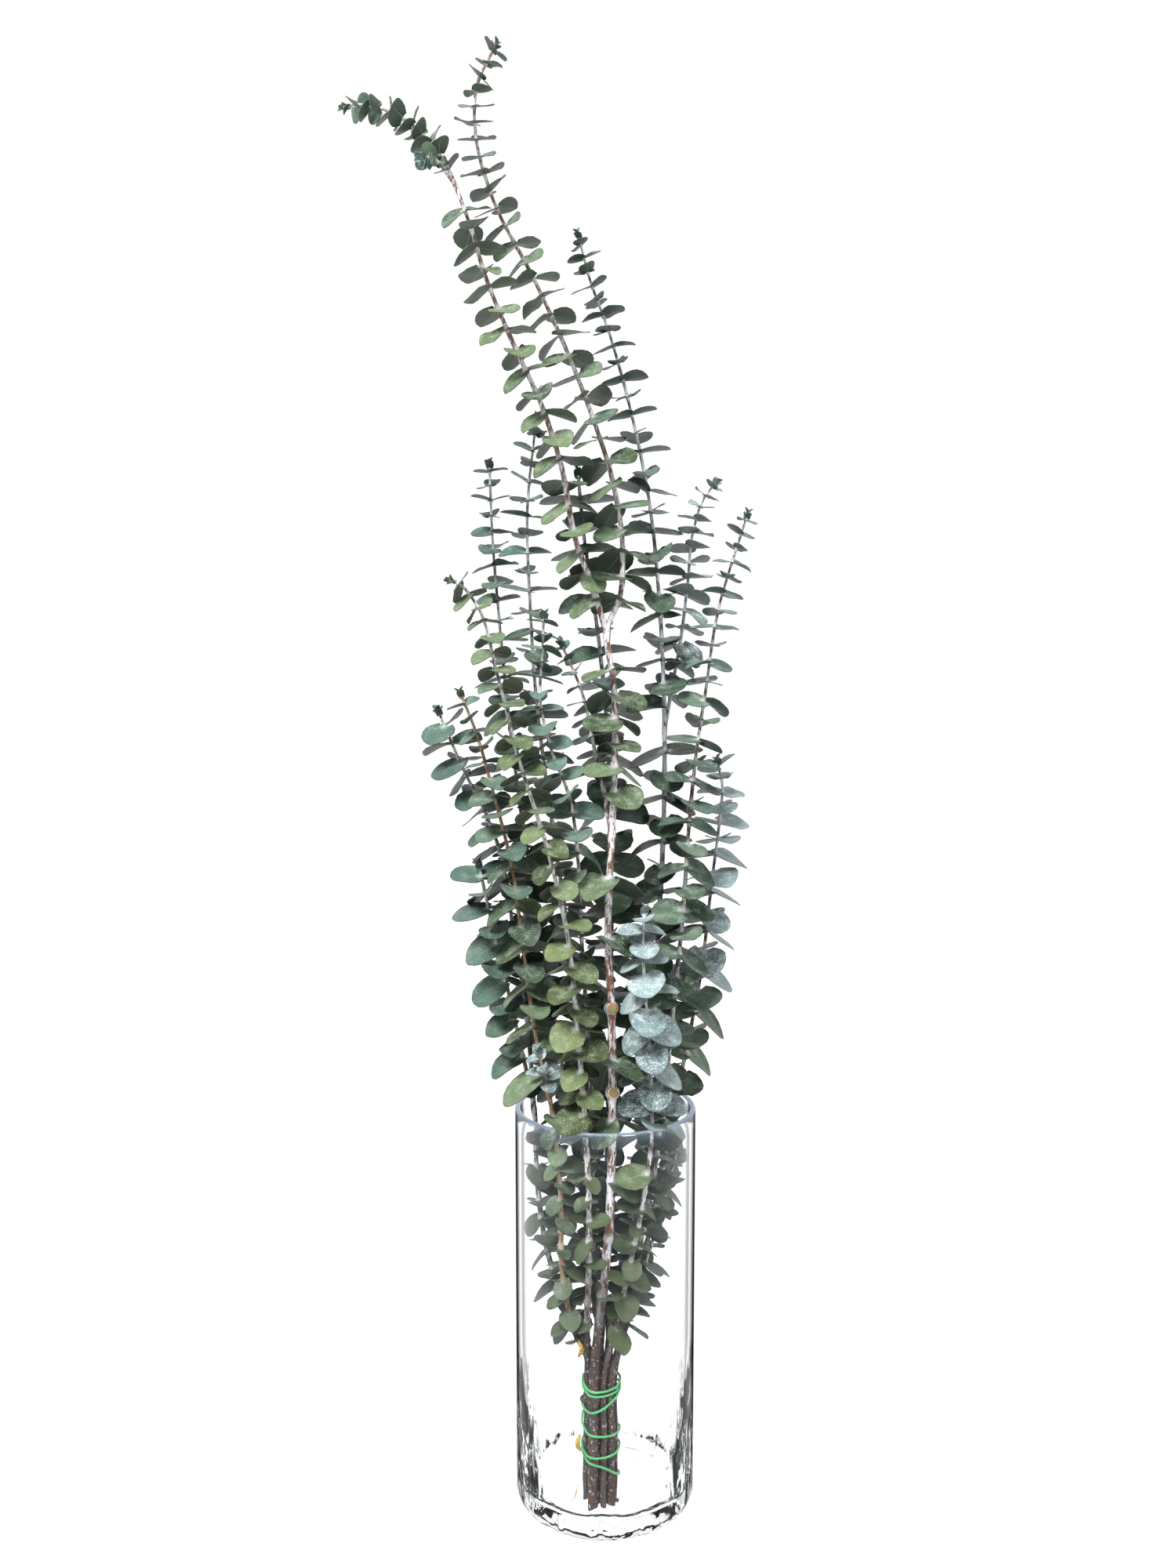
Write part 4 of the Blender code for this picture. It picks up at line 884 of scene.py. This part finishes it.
def makeVase():
    # a profile turned about the axis: its foot is hollowed by kick x (1 - (r / foot radius)^2), and
    # its inner wall ripples where the glass pools at the bottom
    outer, inner = vase["radius"], vase["radius"] - vase["wall"]
    foot, floor, rim, top, base = (vase[key] for key in ("footRound", "floorRound", "rimRound",
                                                         "height", "base"))
    outside = [arc((outer - foot, foot), foot, -90, 0, 14),
               straight((outer, foot), (outer, top - rim), 24),
               arc((outer - rim, top - rim), rim, 0, 90, 7)]
    inside = [arc((inner + rim, top - rim), rim, 90, 180, 7),
              straight((inner, top - rim), (inner, base + floor), 40),
              arc((inner - floor, base + floor), floor, 0, -90, 12),
              straight((inner - floor, base), (2.0, base), 8)]
    ground = np.linspace(2.0, outer - foot, 9)[:-1]
    under = np.stack([ground, vase["kick"] * (1 - (ground / (outer - foot)) ** 2)], -1)
    profile = np.concatenate([under] + outside + inside)
    within = np.arange(len(profile)) >= len(under) + sum(len(part) for part in outside) + 7
    angle = np.linspace(0, 2 * np.pi, vase["turns"], endpoint=False)
    above = np.maximum(profile[:, 1] - base, 0)
    pooled = within * np.exp(-above / 18) * np.clip(profile[:, 0] / inner, 0, 1)
    wave = vase["ripple"] * pooled[:, None] * np.sin(vase["ripples"] * angle + profile[:, 1:] / 4)
    radius = profile[:, :1] - wave
    points = np.stack([radius * np.cos(angle), radius * np.sin(angle),
                       np.broadcast_to(profile[:, 1:], radius.shape)], -1)
    index = np.arange(points[..., 0].size).reshape(points.shape[:2])
    around = closedAround(index)
    low = fan(index.size, around[0, 1:], around[0, :-1])
    high = fan(index.size + 1, around[-1, :-1], around[-1, 1:])
    points = np.concatenate([points.reshape(-1, 3), [[0, 0, vase["kick"]], [0, 0, base]]])
    # the rim share, where the glass gets a painted glow
    rimGlow = np.clip((points[:, 2] - top) / vase["rimRound"] + 1.2, 0, 1)
    wavyWall = 1.4 * np.abs(points[:, 0] / outer) ** 6  # strong at the two sides, weak in the base
    wavyBase = 0.5 * np.clip(1.8 - points[:, 2] / base, 0, 1)
    pool = (np.clip(1.25 - points[:, 2] / vase["poolHeight"], 0, 1) ** 2
            * np.clip((np.hypot(points[:, 0], points[:, 1]) / outer - 0.82) * 8, 0, 1)
            * np.maximum(wavyWall, wavyBase))
    side = np.clip(points[:, 2] / vase["footFade"] - 0.3, 0, 1)
    form = Form()
    form.add(points, [gridFaces(around), low, high], wall=(rimGlow, pool, side))
    paint = Paint("clear_glass", Roughness=0.0, IOR=1.46, Transmission_Weight=1.0,
                  Base_Color=(0.985, 0.995, 1.0), Specular_Tint=(0.18, 0.2, 0.23),
                  Emission_Strength=0.4)
    rimGlow, pool, side = paint.parts("wall")
    tipped = paint.node("Mapping", values={
        "Vector": paint.node("TexCoord", out="Object"), "Rotation": (0.6, 0.6, 0.0),
        "Scale": (1.0, 1.0, 0.35)})
    wave = paint.node("TexNoise", values={"Vector": tipped, "Scale": 1000 / vase["waveSize"],
                                          "Detail": 1.5, "Distortion": 0.6})
    wavy = paint.bump(wave * pool, 0.006, 1.0)
    facing = paint.node("LayerWeight", values={"Blend": 0.5, "Normal": wavy}, out="Facing")
    # painted reflection: the wall is mixed with a near-black see-through sheet where it is seen
    # edge-on, standing in for the dark edges of glass, but not at the rim or the foot
    edgeShade = paint.step(facing, *vase["edgeShadeFacing"]) * (1 - rimGlow) * side * vase["edgeShade"]
    # painted highlight: the rim glows bluish-white through emission, though it is no lamp
    paint.use(Normal=wavy, Roughness=rimGlow * 0.25,
              Emission_Color=paint.mix((0, 0, 0), (0.6, 0.74, 0.95), rimGlow))
    dark = paint.node("BsdfTransparent", values={"Color": (0.02, 0.022, 0.027)})
    glass = Wire(paint, paint.shader.outputs[0])
    wall = paint.node("MixShader", values={0: edgeShade, 1: glass, 2: dark})
    lamp = paint.node("LightPath", out="Is Shadow Ray")  # light passes straight through
    clear = paint.node("BsdfTransparent", values={"Color": (0.8, 0.82, 0.82)})
    both = paint.node("MixShader", values={0: lamp, 1: wall, 2: clear})
    paint.tree.links.new(both.socket, paint.tree.nodes["Material Output"].inputs["Surface"])
    form.piece("vase_glass", paint.material, "clear_glass", ("vase",), crease=70)


makeVase()
print("vase:", vase["height"], "mm high")


# floor, light and camera

studio = dict(floor=8.0, behind=1.06, around=0.35, glow=0.88, camera=(-0.0096, -0.81, 0.494),
              pitch=84.0, lens=34.45, lampSize=0.9,
              lamps=dict(key=((-0.7, -1.2, 2.2), 74), fill=((1.5, -1.2, 1.1), 12)))


def makeStage():  # a plain pale floor that glows a little
    half = studio["floor"] / 2
    mesh = bpy.data.meshes.new("floor")
    mesh.from_pydata([(-half, -half, 0), (half, -half, 0), (half, half, 0), (-half, half, 0)], [],
                     [(0, 1, 2, 3)])
    floor = bpy.data.objects.new("floor", mesh)
    paint = Paint("white_floor", Base_Color=(0.25, 0.25, 0.25), Roughness=0.9,
                  Emission_Color=(1.0, 1.0, 1.0), Emission_Strength=studio["glow"])
    mesh.materials.append(paint.material)
    bpy.context.scene.collection.objects.link(floor)


def makeLight(name, place, size, power):  # a soft square lamp that faces the middle of the bunch
    lamp = bpy.data.lights.new(name, "AREA")
    lamp.energy, lamp.size = power, size
    holder = bpy.data.objects.new(name, lamp)
    holder.location = place
    aim = Vector((0, 0, 0.4)) - holder.location
    holder.rotation_euler = aim.to_track_quat("-Z", "Y").to_euler()
    bpy.context.scene.collection.objects.link(holder)


def makeStudio():
    world = bpy.data.worlds.new("studio")
    world.use_nodes = True
    tree = world.node_tree
    shader = tree.nodes["Background"]
    shader.inputs["Color"].default_value = (1.0, 1.0, 1.0, 1.0)
    way = tree.nodes.new("ShaderNodeTexCoord")
    split = tree.nodes.new("ShaderNodeSeparateXYZ")
    grade = tree.nodes.new("ShaderNodeMapRange")  # bright behind the bunch, dimmer all round it
    for key, value in (("From Min", 0.4), ("From Max", 0.82), ("To Min", studio["around"]),
                       ("To Max", studio["behind"])):
        grade.inputs[key].default_value = value
    tree.links.new(way.outputs["Generated"], split.inputs[0])
    tree.links.new(split.outputs["Y"], grade.inputs["Value"])
    tree.links.new(grade.outputs[0], shader.inputs["Strength"])
    bpy.context.scene.world = world
    for name, (place, power) in studio["lamps"].items():
        makeLight(name, place, studio["lampSize"], power)
    lens = bpy.data.cameras.new("camera")
    lens.lens = studio["lens"]
    camera = bpy.data.objects.new("camera", lens)
    camera.location = studio["camera"]
    camera.rotation_euler = (math.radians(studio["pitch"]), 0, 0)
    bpy.context.scene.collection.objects.link(camera)
    bpy.context.scene.camera = camera
    bpy.context.scene.view_settings.view_transform = "Standard"


makeStage()
makeStudio()
